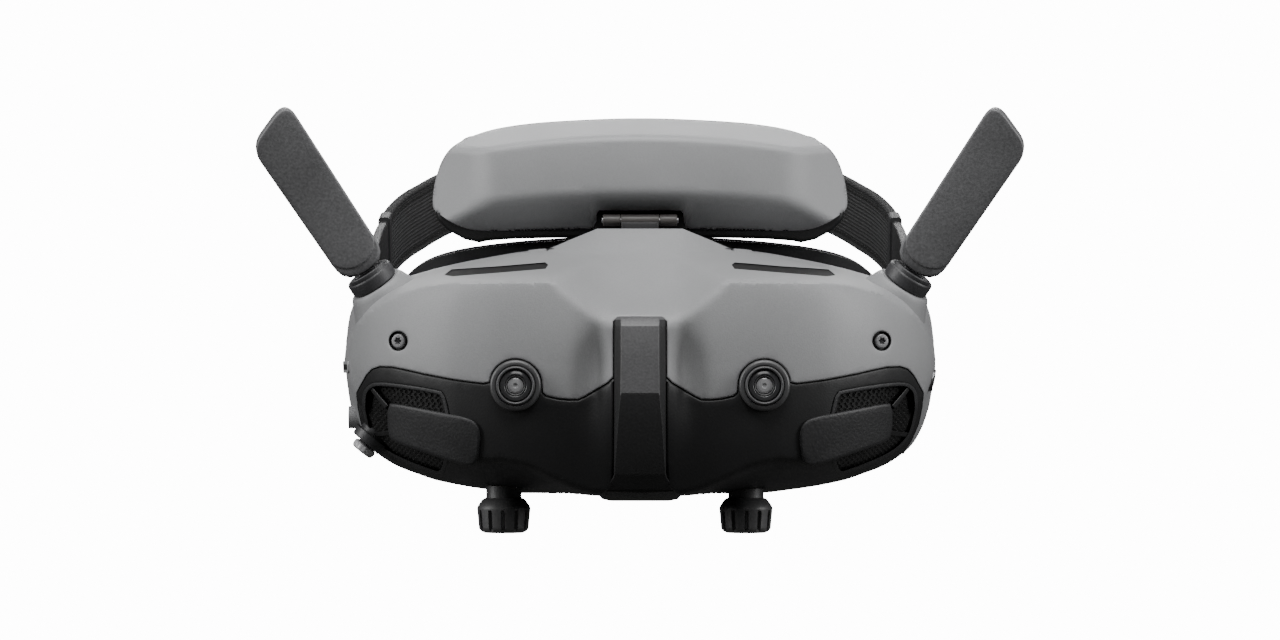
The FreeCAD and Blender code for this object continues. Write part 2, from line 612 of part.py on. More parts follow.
# ---------------------------------------------------------------- rails and optical modules
rails = [cyl(P.rail_rad, P.rail_len, -P.rail_len / 2, P.rail_y, P.rail_z, "X"), cyl(P.rail_rad, P.rail_len, -P.rail_len / 2, P.rail_y, -P.rail_z, "X")]
doc.recompute()
node("ipd_rails", group(*rails))
for side, ex in (("left", P.eye_left), ("right", P.eye_right)):
    frame_ = cbox(P.carriage_w - 3.0, P.carriage_depth, P.carriage_h, ex, P.rail_y, 0)
    foot = cbox(14.0, 16.5, 2.4, ex, P.knob_y + 3.75, -25.2)
    bore_ = cyl(P.barrel_bore, 40, ex, -70, 0, "Y")
    hole = cyl(P.stem_rad + 0.06, 10, ex, P.knob_y, -30, "Z")
    slots = [cyl(P.rail_rad + P.rail_clear, 80, ex - 40, P.rail_y, P.rail_z, "X"), cyl(P.rail_rad + P.rail_clear, 80, ex - 40, P.rail_y, -P.rail_z, "X")]
    node("lens_carriage_%s" % side, cut(fuse(frame_, foot), bore_, hole, *slots))
    # the display sits in front of the barrel and is carried by two posts
    panel = cbox(26.0, 1.4, 26.0, ex, P.barrel_front - 5.0, 0)
    posts = [cbox(3.0, 12.0, 2.6, ex, P.barrel_front - 1.02, 18.4), cbox(3.0, 12.0, 2.6, ex, P.barrel_front - 1.02, -18.4)]
    cap_ = cbox(20.0, 1.6, 39.4, ex, P.barrel_front - 6.5, 0)
    node("display_panel_%s" % side, fuse(panel, cap_, *posts))
    tube = cyl(P.barrel_rad, P.barrel_back - P.barrel_front, ex, P.barrel_front, 0, "Y")
    inside = cyl(P.lens_rad - 1.2, P.barrel_back - P.barrel_front - 8.0, ex, P.barrel_front - 0.01, 0, "Y")
    seat = cyl(P.lens_rad, 8.5, ex, P.barrel_back - 8.2, 0, "Y")
    node("focus_barrel_%s" % side, cut(tube, inside, seat))
    disc = cyl(P.lens_rad - 0.05, P.lens_thick, ex, P.barrel_back - 7.9, 0, "Y")
    ball = doc.addObject("Part::Sphere", uid("ball"))
    ball.Radius = 42.0
    place(ball, ex, P.barrel_back - 2.2 - 42.0, 0)
    node("eyepiece_lens_%s" % side, common(disc, ball))
    stem = cyl(P.stem_rad, P.stem_top_z - P.knob_top_z + 1.0, ex, P.knob_y, P.knob_top_z - 1.0, "Z")
    collar_ = cyl(P.stem_rad + 1.2, 1.0, ex, P.knob_y, -23.9, "Z")
    node("knob_stem_%s" % side, fuse(stem, collar_))
    k = pd_revolve([(P.stem_rad + 0.05, P.neck_top_z), (P.neck_rad, P.neck_top_z), (P.neck_rad, P.knob_top_z), (P.knob_top_rad, P.knob_top_z), (P.knob_rad, P.knob_wide_z), (P.knob_foot_rad, P.knob_edge_z),
                    (P.knob_end_rad, P.knob_end_z), (0, P.knob_end_z), (0, P.knob_top_z - 4.2), (P.stem_rad + 0.05, P.knob_top_z - 4.2)], "knob")
    grooves = []
    for i in range(int(VAL["knob_slots"])):
        a = math.radians(i * 360.0 / VAL["knob_slots"] + 18)
        gx = doc.addObject("Part::Box", uid("slot"))
        gx.Length, gx.Width, gx.Height = 3.0, 1.2, 4.0
        gx.Placement = Placement(V3(0, 0, 0), Rotation(V3(0, 0, 1), math.degrees(a)))
        r0 = VAL["knob_rad"] - 1.1
        ox, oy = r0 * math.cos(a) + 0.6 * math.sin(a), r0 * math.sin(a) - 0.6 * math.cos(a)
        gx.Placement.Base = V3(ox, oy, VAL["knob_edge_z"] - 0.8)
        grooves.append(gx)
    doc.recompute()
    kk = cut(k, *grooves)
    doc.recompute()
    place(kk, ex, P.knob_y, 0)
    node("focus_knob_%s" % side, kk)

# ---------------------------------------------------------------- brow pad
profile = pd_pad([(-29.0, 67.9), (-36.0, 66.4), (-41.0, 63.7), (-44.6, 57.0), (-45.0, 50.0), (-44.0, 45.5), (-38.5, 40.0), (-33.0, 37.6), (-24.0, 38.6), (-24.0, 67.9)],
                 2 * P.pad_half + 4, "YZ_Plane", mid=True, hint="padprofile")
OUT = [(0, 68.2), (20, 67.7), (38, 65.4), (47.0, 62.2), (51.6, 57.6), (54.4, 50.0), (55.4, 43.6), (53.8, 41.0), (49.0, 38.4), (43, 37.4), (25, 37.0), (0, 37.0)]
outline = raw(spline_face([(x, z) for x, z in mirror_pts(OUT)]).extrude(V3(0, 60, 0)), "padoutline")
outline.Placement = Placement(V3(0, -60, 0), Rotation())
plan = cyl(P.pad_plan_rad, 80, 0, -45.2 + P.pad_plan_rad, 20, "Z")
recess = cbox(24.6, 15.3, 9.4, 0, -42.4, 39.2)
hollow_pad = cbox(86.0, 12.0, 18.0, 0, -30.0 + 0.0, 53.0)
pad_shell = cut(common(profile, outline, plan), recess, hollow_pad)
node("pad_shell", pad_shell)
base_prof = pd_pad([(-24.0, 38.7), (-24.0, 66.0), (-15.0, 65.0), (-15.0, 41.0)], 2 * P.pad_half + 4, "YZ_Plane", mid=True, hint="padbase")
lip = pd_pad([(-33.0, 37.5), (-24.0, 38.5), (-24.0, 36.6), (-29.0, 34.8), (-31.6, 35.4)], 84.0, "YZ_Plane", mid=True, hint="padlip")
OUT2 = [(0, 66.0), (20, 65.6), (38, 63.4), (46.0, 60.0), (50.0, 55.6), (52.4, 49.0), (52.8, 44.0), (50.6, 40.6), (45.0, 38.9), (25, 38.6), (0, 38.6)]
outline2 = raw(spline_face(mirror_pts(OUT2)).extrude(V3(0, 60, 0)), "padoutline2")
outline2.Placement = Placement(V3(0, -50, 0), Rotation())
knuckles = [cyl(P.hinge_barrel, (P.hinge_len - P.hinge_mid) / 2 - 0.1, -P.hinge_len / 2, P.hinge_y, P.hinge_z, "X"),
            cyl(P.hinge_barrel, (P.hinge_len - P.hinge_mid) / 2 - 0.1, P.hinge_mid / 2 + 0.1, P.hinge_y, P.hinge_z, "X")]
webs = [box((P.hinge_len - P.hinge_mid) / 2 - 0.1, 7.0, 2.6, -P.hinge_len / 2, P.hinge_y, P.hinge_z - 0.9),
        box((P.hinge_len - P.hinge_mid) / 2 - 0.1, 7.0, 2.6, P.hinge_mid / 2 + 0.1, P.hinge_y, P.hinge_z - 0.9)]
pin_hole = cyl(P.hinge_pin_rad + 0.05, 30, -15, P.hinge_y, P.hinge_z, "X")
node("pad_hinge_leaf", cut(fuse(fuse(*knuckles), fuse(*webs), cbox(P.hinge_len, 2.4, 4.2, 0, P.hinge_y + 5.4, P.hinge_z + 0.9)), pin_hole))
pad_base = common(base_prof, outline2)
node("pad_base", fuse(pad_base, lip))
foam_prof = pd_pad([(-15.0, 42.0), (-15.0, 64.0), (22.0, 64.0), (22.0, 42.0)], 2 * P.pad_half + 4, "YZ_Plane", mid=True, hint="foam")
OUT3 = [(0, 64.0), (20, 63.6), (36, 62.0), (44.0, 59.0), (48.0, 55.0), (50.0, 50.0), (50.2, 46.0), (48.0, 43.0), (42.0, 41.8), (22, 41.6), (0, 41.6)]
outline3 = raw(spline_face(mirror_pts(OUT3)).extrude(V3(0, 80, 0)), "padoutline3")
outline3.Placement = Placement(V3(0, -40, 0), Rotation())
brow = cyl(P.foam_back_rad, 80, 0, P.foam_mid_y + P.foam_back_rad, 20, "Z")
node("pad_foam", cut(common(foam_prof, outline3), brow))

# hinge on the housing side
mid_knuckle = cyl(P.hinge_barrel, P.hinge_mid - 0.1, -P.hinge_mid / 2 + 0.05, P.hinge_y, P.hinge_z, "X")
tongue = pd_pad([(-42.0, 38.7), (-42.0, 42.2), (-44.0, 41.4), (-47.9, 38.6), (-47.9, 34.6), (-45.8, 34.6), (-43.6, 37.6)], P.hinge_mid - 0.1, "YZ_Plane", mid=True, hint="tongue")
foot_ = cbox(20.0, 2.2, 4.2, 0, -46.8, 36.0)
bracket = cut(fuse(mid_knuckle, tongue, foot_), cyl(P.hinge_pin_rad + 0.02, 30, -15, P.hinge_y, P.hinge_z, "X"))
node("pad_hinge_bracket", bracket)
node("pad_hinge_pin", cyl(P.hinge_pin_rad, P.hinge_len, -P.hinge_len / 2, P.hinge_y, P.hinge_z, "X"))

# ---------------------------------------------------------------- antennas
for sgn, side in ((1, "left"), (-1, "right")):
    basep, c, w, n, rot = ant_axis(sgn)
    s_out = sgn            # local +X is row +X; the outer edge lies on the sgn side
    col = pd_revolve([(0, -P.spigot_len), (P.spigot_rad, -P.spigot_len), (P.spigot_rad, 0.1), (P.collar_rad, 0.1), (P.collar_rad - 0.1, P.collar_len),
                      (P.collar_rad - 0.9, P.collar_len + 0.8), (0, P.collar_len + 0.8)], "collar")
    tg = cbox(P.tongue_w, P.tongue_t - 0.4, P.ant_pin_u - P.collar_len, 0, 0, (P.ant_pin_u + P.collar_len) / 2)
    tr = cyl(P.tongue_t / 2 - 0.2, P.tongue_w, -P.tongue_w / 2, 0, P.ant_pin_u, "X")
    pn = cyl(P.ant_pin_rad, 10.4, -5.2, 0, P.ant_pin_u, "X")
    co = fuse(col, tg, tr, pn)
    co.Placement = Placement(basep, rot)
    node("antenna_collar_%s" % side, co)
    # paddle: slanted tip, rounded foot that turns about the pin
    L, wt, wb = VAL["paddle_len"], VAL["paddle_w_tip"] / 2, VAL["paddle_w_base"] / 2
    slant = 2 * wt * math.tan(math.radians(21))
    tip_in, tip_out = L, L - slant
    pts = [(-wb, 9.5), (wb, 9.5), (wt if s_out > 0 else wt, 0), (0, 0)]
    top_r, top_l = (tip_out, tip_in) if s_out > 0 else (tip_in, tip_out)
    poly = [(-wb, P.ant_pin_u), (wb, P.ant_pin_u), (wt, top_r), (-wt, top_l)]

    def tip_edges(shape):
        out = []
        for i, e in enumerate(shape.Edges, start=1):
            d = e.Vertexes[-1].Point - e.Vertexes[0].Point
            if abs(d.x) < 1e-6 and abs(d.z) < 1e-6 and e.CenterOfMass.z > 20:
                out.append("Edge%d" % i)
        return out

    pb = pd_pad(poly, P.paddle_t, "XZ_Plane", mid=False, fillet=(3.6, tip_edges), hint="paddle")
    place(pb, 0, P.paddle_t / 2 - 0.2 + 0.6, 0)
    knuck = cyl(P.knuckle_rad, P.paddle_w_base - 0.6, -P.paddle_w_base / 2 + 0.3, 0, P.ant_pin_u, "X")
    slot_ = cbox(P.tongue_w + 0.4, 9.0, 9.4, 0, 0, P.ant_pin_u - 0.6)
    pinh = cyl(P.ant_pin_rad + 0.05, 10.8, -5.4, 0, P.ant_pin_u, "X")
    bk0 = cut(fuse(pb, knuck), slot_, pinh)
    cv_poly = [(-wb + 0.1, P.ant_pin_u + 4.4), (wb - 0.1, P.ant_pin_u + 4.4), (wt - 0.1, Q.of(top_r) - 0.12), (-wt + 0.1, Q.of(top_l) - 0.12)]
    cv = pd_pad(cv_poly, P.cover_t, "XZ_Plane", fillet=(3.5, tip_edges), hint="cover")
    place(cv, 0, -P.paddle_t / 2 + 0.5, 0)
    ab = fuse(bk0, cv)
    ab.Placement = Placement(basep, rot)
    node("antenna_paddle_%s" % side, ab)

# ---------------------------------------------------------------- face frame and foam
FACE = [(0, 36.4), (21, 35.8), (45, 33.4), (58, 30.0), (64.8, 24.0), (67.3, 14.0), (67.3, 0.0), (64.2, -13.0), (56.0, -23.0), (42, -28.0), (28, -28.6), (17, -24.0), (9.5, -13.5), (0, -8.5)]
FACE_IN = [(0, 31.6), (20, 31.0), (42, 28.8), (54, 25.4), (60.5, 19.6), (63.0, 11.0), (63.0, 0.0), (60.0, -11.0), (52.0, -19.6), (41, -23.6), (29.5, -24.0), (20.5, -19.6), (12.5, -9.5), (0, -3.5)]


def ring_solid(k_out, k_in, y0, y1):
    o = spline_face([(x * k_out, z * k_out + (1 - k_out) * 4) for x, z in mirror_pts(FACE)]).extrude(V3(0, y1 - y0, 0))
    i = spline_face([(x * k_in, z * k_in + (1 - k_in) * 4) for x, z in mirror_pts(FACE_IN)]).extrude(V3(0, y1 - y0, 0))
    s = o.cut(i)
    s.translate(V3(0, y0, 0))
    return s


face_cyl = Part.makeCylinder(105.0, 200, V3(0, 105.0 - 8.0, -100), V3(0, 0, 1))
foam_cyl = Part.makeCylinder(98.0, 200, V3(0, 98.0, -100), V3(0, 0, 1))
frame_ring = ring_solid(1.0, 1.0, -23.9, 40.0).cut(face_cyl)
node("face_frame", raw(biggest(frame_ring), "faceframe"))
foam_ring = ring_solid(0.985, 1.0, -23.9, 60.0).common(face_cyl).cut(foam_cyl)
foam_ring = foam_ring.common(Part.makeBox(300, 80, 300, V3(-150, -20, -150)))
node("face_foam", raw(biggest(foam_ring), "facefoam"))
sensor = pd_pad([(-5.0, 20.0), (5.0, 20.0), (5.0, 24.0), (-5.0, 24.0)], 1.2, "XZ_Plane", hint="sensor")
place(sensor, 0, -22.4, 0)
node("proximity_sensor", sensor)

# ---------------------------------------------------------------- ports
tubej = cut(cyl(P.jack_rad + 1.1, P.jack_len, 65.6, -52, -2, "X"), cyl(P.jack_rad, P.jack_len, 67.0, -52, -2, "X"))
node("audio_jack", tubej)
usb = cut(cbox(9.0, 9.0, 3.2, 72.4, -42.0, -2.0), cbox(8.0, 8.0, 2.2, 73.4, -42.0, -2.0), )
usb_t = cbox(5.0, 6.0, 0.6, 72.2, -42.0, -2.0)
node("power_socket", fuse(usb, usb_t))
card = cut(cbox(12.0, 13.0, 3.4, -67.0, -52.0, 1.5), cbox(12.0, 11.4, 1.2, -68.4, -52.0, 1.5))
node("card_slot", card)

# ---------------------------------------------------------------- controls under the right-hand corner
dirn = V3(-0.62, 0, -0.78)
dirn.normalize()
srot = Rotation(V3(0, 0, 1), dirn)
stick_c = V3(-73.6, -52.0, -20.4)
inner_c = stick_c - dirn * 6.0
ua = V3(0, 1, 0)
va = dirn.cross(ua)
gim = Part.makeCylinder(4.2, 1.6, inner_c - dirn * 0.8, dirn).cut(Part.makeCylinder(3.2, 2.0, inner_c - dirn * 1.0, dirn))
gim = gim.cut(Part.makeCylinder(0.56, 14, inner_c - va * 7, va))
node("stick_gimbal", raw(gim, "gimbal"))
core_ = Part.makeCylinder(2.5, 2.0, inner_c - dirn * 1.0, dirn).fuse(Part.makeCylinder(0.5, 8.2, inner_c - va * 4.1, va))
core_ = core_.cut(Part.makeCylinder(1.26, 8.0, inner_c - dirn * 4.0, dirn))
node("stick_core", raw(core_, "core"))
cap = Part.makeCylinder(1.2, 8.2, inner_c - dirn * 2.0, dirn).fuse(Part.makeCylinder(VAL["stick_rad"], 2.0, stick_c - dirn * 0.4, dirn))
cap = cap.fuse(Part.makeCone(VAL["stick_rad"], 2.6, 0.8, stick_c + dirn * 1.6, dirn)).removeSplitter()
node("stick_cap", raw(cap, "stickcap"))
bb = Part.makeCylinder(VAL["button_rad"], 4.0, V3(-77.9, -42, -12), V3(1, 0, 0))
bb = bb.common(Part.makeSphere(9.0, V3(-69.6, -42, -12)))
node("back_button", raw(bb, "backbutton"))

# ---------------------------------------------------------------- headband: arms, straps, rear case
arm_pts = {}


def arm_solid(sgn):
    ax = VAL["arm_x"]
    t = VAL["arm_t"]
    rows = [(-16.0, 74.0, 21.0, 5.0), (0.0, 74.2, 24.0, 6.4), (20.0, 74.0, 28.4, 7.6), (36.0, 73.6, 31.6, 8.4), (52.0, 73.0, 34.0, 8.8)]
    wires = []
    for y, x, z, hh in rows:
        p = [V3(sgn * (x - t / 2), y, z - hh), V3(sgn * (x + t / 2), y, z - hh), V3(sgn * (x + t / 2), y, z + hh), V3(sgn * (x - t / 2), y, z + hh)]
        wires.append(Part.makePolygon(p + [p[0]]))
    s = Part.makeLoft(wires, True, False)
    eye = Part.makeCylinder(6.6, t, V3(sgn * 74.0 - t / 2, VAL["arm_pivot_y"], VAL["arm_pivot_z"]), V3(1, 0, 0))
    s = s.fuse(eye).removeSplitter()
    return s.cut(Part.makeCylinder(VAL["arm_pin_rad"] + 0.06, 30, V3(sgn * 74 - 15, VAL["arm_pivot_y"], VAL["arm_pivot_z"]), V3(1, 0, 0)))


PATH = [(52.2, 73.0, 34.0), (66.0, 72.3, 36.6), (84.0, 70.8, 39.6), (102.0, 68.6, 42.4), (120.0, 66.0, 44.8), (136.0, 63.6, 47.0),
        (150.0, 60.6, 49.2), (164.0, 56.0, 51.8), (176.0, 50.0, 54.2), (184.0, 43.6, 56.2), (187.4, 38.0, 57.0)]


def strap_solid(sgn, grow=0.0):
    t, hw = VAL["strap_t"] / 2 + grow, VAL["strap_w"] / 2 + grow
    wires = []
    for i, (y, x, z) in enumerate(PATH):
        a = PATH[max(0, i - 1)]
        b = PATH[min(len(PATH) - 1, i + 1)]
        dy, dx = b[0] - a[0], b[1] - a[1]
        if i == 0:
            dy, dx = 1.0, 0.0
        if i == len(PATH) - 1:
            dy, dx = 0.0, -1.0
        L = math.hypot(dx, dy)
        nx, ny = dy / L, -dx / L
        h = hw
        p = [V3(sgn * (x - nx * t), y - ny * t, z - h), V3(sgn * (x + nx * t), y + ny * t, z - h), V3(sgn * (x + nx * t), y + ny * t, z + h), V3(sgn * (x - nx * t), y - ny * t, z + h)]
        wires.append(Part.makePolygon(p + [p[0]]))
    return Part.makeLoft(wires, True, False)


for sgn, side in ((1, "left"), (-1, "right")):
    node("band_arm_%s" % side, raw(arm_solid(sgn), "arm"))
    node("strap_%s" % side, raw(strap_solid(sgn), "strap"))
pins = []
for sgn in (1, -1):
    p_ = cyl(P.arm_pin_rad, 7.8, sgn * 72.9 - 3.9, P.arm_pivot_y, P.arm_pivot_z, "X")
    h_ = cyl(P.arm_pin_rad + 1.6, 1.4, (76.0 if sgn > 0 else -77.4), P.arm_pivot_y, P.arm_pivot_z, "X")
    pins.append(fuse(p_, h_))
doc.recompute()
node("band_pivot_pins", group(*pins))
# rear case, shell in two halves round the battery
case_f_prof = [(-P.case_half, P.case_bottom + 4), (-P.case_half + 4, P.case_bottom), (P.case_half - 4, P.case_bottom), (P.case_half, P.case_bottom + 4),
               (P.case_half, P.case_top - 4), (P.case_half - 4, P.case_top), (-P.case_half + 4, P.case_top), (-P.case_half, P.case_top - 4)]
front_blank = pd_pad(case_f_prof, P.case_mid - P.case_front - 0.05, "XZ_Plane", hint="casefront")
place(front_blank, 0, P.case_mid - 0.05, 0)
front_void = cbox(2 * P.case_half - 5.0, P.case_mid - P.case_front - 2.0, P.case_top - P.case_bottom - 5.0, 0, (P.case_mid + P.case_front) / 2 + 1.2, (P.case_top + P.case_bottom) / 2)
slot_l = raw(strap_solid(1, 0.25), "slot")
slot_r = raw(strap_solid(-1, 0.25), "slot")
node("rear_case_inner", cut(front_blank, front_void, slot_l, slot_r))
back_blank = pd_pad(case_f_prof, P.case_back - P.case_mid, "XZ_Plane", hint="caseback")
place(back_blank, 0, P.case_back, 0)
back_void = cbox(2 * P.case_half - 5.0, P.case_back - P.case_mid - 2.0, P.case_top - P.case_bottom - 5.0, 0, (P.case_mid + P.case_back) / 2 - 1.2, (P.case_top + P.case_bottom) / 2)
axle_hole = cyl(3.06, 20, 0, P.case_back - 10, 57.0, "Y")
button_hole = cyl(3.3, 20, 38.8, P.case_back - 10, 64.0, "Y")
light_hole = cbox(12.0, 20.0, 2.2, 33.0, P.case_back, 50.0)
node("rear_case_outer", cut(back_blank, back_void, axle_hole, button_hole, light_hole))
cells = [cyl(P.cell_rad, P.cell_len, -P.cell_len / 2, 191.6, 57.0, "X")]
doc.recompute()
node("battery_cell", cells[0])
dial = pd_revolve([(0, -2.1), (3.0, -2.1), (3.0, 0.0), (P.dial_rad, 0.0), (P.dial_rad, P.dial_depth - 1.2), (P.dial_rad - 1.2, P.dial_depth), (0, P.dial_depth)], "dial")
notch = []
for i in range(int(VAL["dial_ribs"])):
    a = math.radians(i * 360.0 / VAL["dial_ribs"])
    notch.append(cyl(0.8, 12.0, (VAL["dial_rad"] + 0.25) * math.cos(a), (VAL["dial_rad"] + 0.25) * math.sin(a), -1.0, "Z"))
doc.recompute()
dd = cut(dial, *notch)
doc.recompute()
place(dd, 0, P.case_back + 0.3, 57.0, AX["Y"])
node("fit_dial", dd)
node("power_button", fuse(cyl(3.24, 4.0, 38.8, P.case_back - 2.9, 64.0, "Y"), cyl(4.2, 0.7, 38.8, P.case_back - 3.0, 64.0, "Y")))
node("charge_light", cbox(11.8, 1.8, 2.0, 33.0, P.case_back - 1.0, 50.0))
rear_pad = pd_pad([(-P.case_half + 5, P.case_bottom + 2), (P.case_half - 5, P.case_bottom + 2), (P.case_half - 5, P.case_top - 2), (-P.case_half + 5, P.case_top - 2)], 6.0, "XZ_Plane", hint="rearpad")
place(rear_pad, 0, P.case_front, 0)
node("rear_pad", rear_pad)

# ---------------------------------------------------------------- check and write out
doc.recompute()
bad = []
for o in doc.Objects:
    if any(w in ("Invalid", "Error") for w in o.State):
        bad.append("%s %s %s" % (o.Name, o.Label, o.State))
for name, o in NODES:
    s = o.Shape
    if s.isNull() or not s.isValid() or not s.Solids:
        bad.append("%s is null, not valid or not solid" % name)
if bad:
    raise RuntimeError("; ".join(bad))
os.makedirs("parts", exist_ok=True)
for name, o in NODES:
    o.Shape.exportStep("parts/%s.step" % name)
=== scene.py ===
import bpy
import bmesh
import json
import math
import numpy as np
from mathutils import Matrix, Vector
from mathutils.geometry import delaunay_2d_cdt

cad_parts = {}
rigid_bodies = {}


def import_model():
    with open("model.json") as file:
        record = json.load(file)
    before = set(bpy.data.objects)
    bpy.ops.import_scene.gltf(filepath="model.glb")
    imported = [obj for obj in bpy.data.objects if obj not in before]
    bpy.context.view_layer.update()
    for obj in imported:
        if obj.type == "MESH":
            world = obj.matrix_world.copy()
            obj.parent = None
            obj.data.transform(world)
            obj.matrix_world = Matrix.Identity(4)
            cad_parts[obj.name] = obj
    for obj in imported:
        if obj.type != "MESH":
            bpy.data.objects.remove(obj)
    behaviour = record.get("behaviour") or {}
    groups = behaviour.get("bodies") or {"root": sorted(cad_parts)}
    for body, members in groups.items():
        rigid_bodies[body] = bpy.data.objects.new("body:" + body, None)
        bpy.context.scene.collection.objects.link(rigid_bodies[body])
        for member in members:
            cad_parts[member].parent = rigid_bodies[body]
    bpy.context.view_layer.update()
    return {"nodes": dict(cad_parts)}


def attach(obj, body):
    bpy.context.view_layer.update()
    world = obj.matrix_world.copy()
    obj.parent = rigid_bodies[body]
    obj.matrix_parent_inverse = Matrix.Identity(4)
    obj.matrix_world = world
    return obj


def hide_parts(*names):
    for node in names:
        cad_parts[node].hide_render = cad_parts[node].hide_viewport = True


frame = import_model()
NODES = frame["nodes"]
MM = 0.001

# ------------------------------------------------------------------ materials
def new_mat(name):
    m = bpy.data.materials.new(name)
    m.use_nodes = True
    nt = m.node_tree
    nt.nodes.clear()
    out = nt.nodes.new("ShaderNodeOutputMaterial")
    p = nt.nodes.new("ShaderNodeBsdfPrincipled")
    nt.links.new(p.outputs[0], out.inputs[0])
    return m, nt, p


def tex_coord(nt, scale=(1, 1, 1), rot=(0, 0, 0)):
    tc = nt.nodes.new("ShaderNodeTexCoord")
    mp = nt.nodes.new("ShaderNodeMapping")
    mp.inputs["Scale"].default_value = scale
    mp.inputs["Rotation"].default_value = rot
    nt.links.new(tc.outputs["Object"], mp.inputs[0])
    return mp.outputs[0]


def noise(nt, vec, scale, detail=4.0, rough=0.6):
    n = nt.nodes.new("ShaderNodeTexNoise")
    n.inputs["Scale"].default_value = scale
    n.inputs["Detail"].default_value = detail
    n.inputs["Roughness"].default_value = rough
    nt.links.new(vec, n.inputs["Vector"])
    return n.outputs["Fac"]


def ramp(nt, fac, stops):
    r = nt.nodes.new("ShaderNodeValToRGB")
    el = r.color_ramp.elements
    while len(el) < len(stops):
        el.new(0.5)
    for e, (pos, col) in zip(el, stops):
        e.position = pos
        e.color = (col[0], col[1], col[2], 1.0)
    nt.links.new(fac, r.inputs[0])
    return r.outputs[0]


def map_range(nt, fac, lo, hi, a=0.0, b=1.0):
    m = nt.nodes.new("ShaderNodeMapRange")
    m.inputs["From Min"].default_value = a
    m.inputs["From Max"].default_value = b
    m.inputs["To Min"].default_value = lo
    m.inputs["To Max"].default_value = hi
    nt.links.new(fac, m.inputs[0])
    return m.outputs[0]


def mathn(nt, op, a, b=None, val=None):
    m = nt.nodes.new("ShaderNodeMath")
    m.operation = op
    nt.links.new(a, m.inputs[0])
    if b is not None:
        nt.links.new(b, m.inputs[1])
    elif val is not None:
        m.inputs[1].default_value = val
    return m.outputs[0]


def bump(nt, p, height, dist, strength=1.0):
    b = nt.nodes.new("ShaderNodeBump")
    b.inputs["Strength"].default_value = strength
    b.inputs["Distance"].default_value = dist
    nt.links.new(height, b.inputs["Height"])
    nt.links.new(b.outputs[0], p.inputs["Normal"])


def c3(v, f=1.0):
    return tuple(min(1.0, x * f) for x in v)


def plastic(name, col, rough=0.55, grain=2600.0, depth=0.00004, speck=0.12, spec=0.5, coat=0.0, edge_highlight=0.25):
    """Moulded plastic: spark-eroded grain, slight tone drift, painted highlight on convex edges."""
    m, nt, p = new_mat(name)
    v = tex_coord(nt)
    fine = noise(nt, v, grain, 2.0, 0.5)
    broad = noise(nt, v, 45.0, 3.0, 0.55)
    mix = mathn(nt, "ADD", mathn(nt, "MULTIPLY", fine, val=0.65), mathn(nt, "MULTIPLY", broad, val=0.35))
    base = ramp(nt, mix, [(0.30, c3(col, 1.0 - speck)), (0.70, c3(col, 1.0 + speck))])
    # painted highlight: sharp convex edges (high pointiness) are blended towards a lighter tone of the colour
    geo = nt.nodes.new("ShaderNodeNewGeometry")
    edge = map_range(nt, geo.outputs["Pointiness"], 0.0, edge_highlight, 0.53, 0.62)
    mx = nt.nodes.new("ShaderNodeMix")
    mx.data_type = "RGBA"
    nt.links.new(edge, mx.inputs[0])
    nt.links.new(base, mx.inputs[6])
    mx.inputs[7].default_value = (*c3(col, 1.9), 1.0)
    nt.links.new(mx.outputs[2], p.inputs["Base Color"])
    nt.links.new(map_range(nt, broad, rough - 0.05, rough + 0.06, 0.3, 0.7), p.inputs["Roughness"])
    p.inputs["Specular IOR Level"].default_value = spec
    if coat:
        p.inputs["Coat Weight"].default_value = coat
        p.inputs["Coat Roughness"].default_value = 0.15
    bump(nt, p, fine, depth, 0.9)
    return m


def metal(name, col, rough=0.35, streak=(30, 900, 900), depth=0.00001, metallic=1.0):
    m, nt, p = new_mat(name)
    v = tex_coord(nt, streak)
    n1 = noise(nt, v, 3.0, 5.0, 0.6)
    base = ramp(nt, n1, [(0.3, c3(col, 0.82)), (0.7, c3(col, 1.12))])
    nt.links.new(base, p.inputs["Base Color"])
    p.inputs["Metallic"].default_value = metallic
    nt.links.new(map_range(nt, n1, rough - 0.08, rough + 0.1, 0.3, 0.7), p.inputs["Roughness"])
    bump(nt, p, n1, depth, 0.7)
    return m


def knit(name, col, cell=1400.0, depth=0.00022, sheen=0.35):
    """Fine knitted cover over foam: two crossed waves for the loops, fuzz on top."""
    m, nt, p = new_mat(name)
    v = tex_coord(nt)
    hs = []
    for direction, sc in (("X", cell), ("Z", cell * 0.8), ("Y", cell * 0.9)):
        w = nt.nodes.new("ShaderNodeTexWave")
        w.wave_type = "BANDS"
        w.bands_direction = direction
        w.inputs["Scale"].default_value = sc / 6.0
        w.inputs["Distortion"].default_value = 0.6
        w.inputs["Detail"].default_value = 1.0
        nt.links.new(v, w.inputs["Vector"])
        hs.append(w.outputs["Fac"])
    weave = mathn(nt, "MULTIPLY", mathn(nt, "ADD", hs[0], hs[2]), hs[1])
    fuzz = noise(nt, v, 900.0, 4.0, 0.7)
    broad = noise(nt, v, 30.0, 3.0, 0.6)
    h = mathn(nt, "ADD", weave, mathn(nt, "MULTIPLY", fuzz, val=0.5))
    tone = mathn(nt, "ADD", mathn(nt, "MULTIPLY", h, val=0.4), mathn(nt, "MULTIPLY", broad, val=0.4))
    nt.links.new(ramp(nt, tone, [(0.15, c3(col, 0.55)), (0.75, c3(col, 1.5))]), p.inputs["Base Color"])
    nt.links.new(map_range(nt, fuzz, 0.82, 1.0, 0.3, 0.7), p.inputs["Roughness"])
    p.inputs["Sheen Weight"].default_value = sheen
    p.inputs["Sheen Roughness"].default_value = 0.5
    p.inputs["Specular IOR Level"].default_value = 0.2
    bump(nt, p, h, depth, 0.8)
    return m


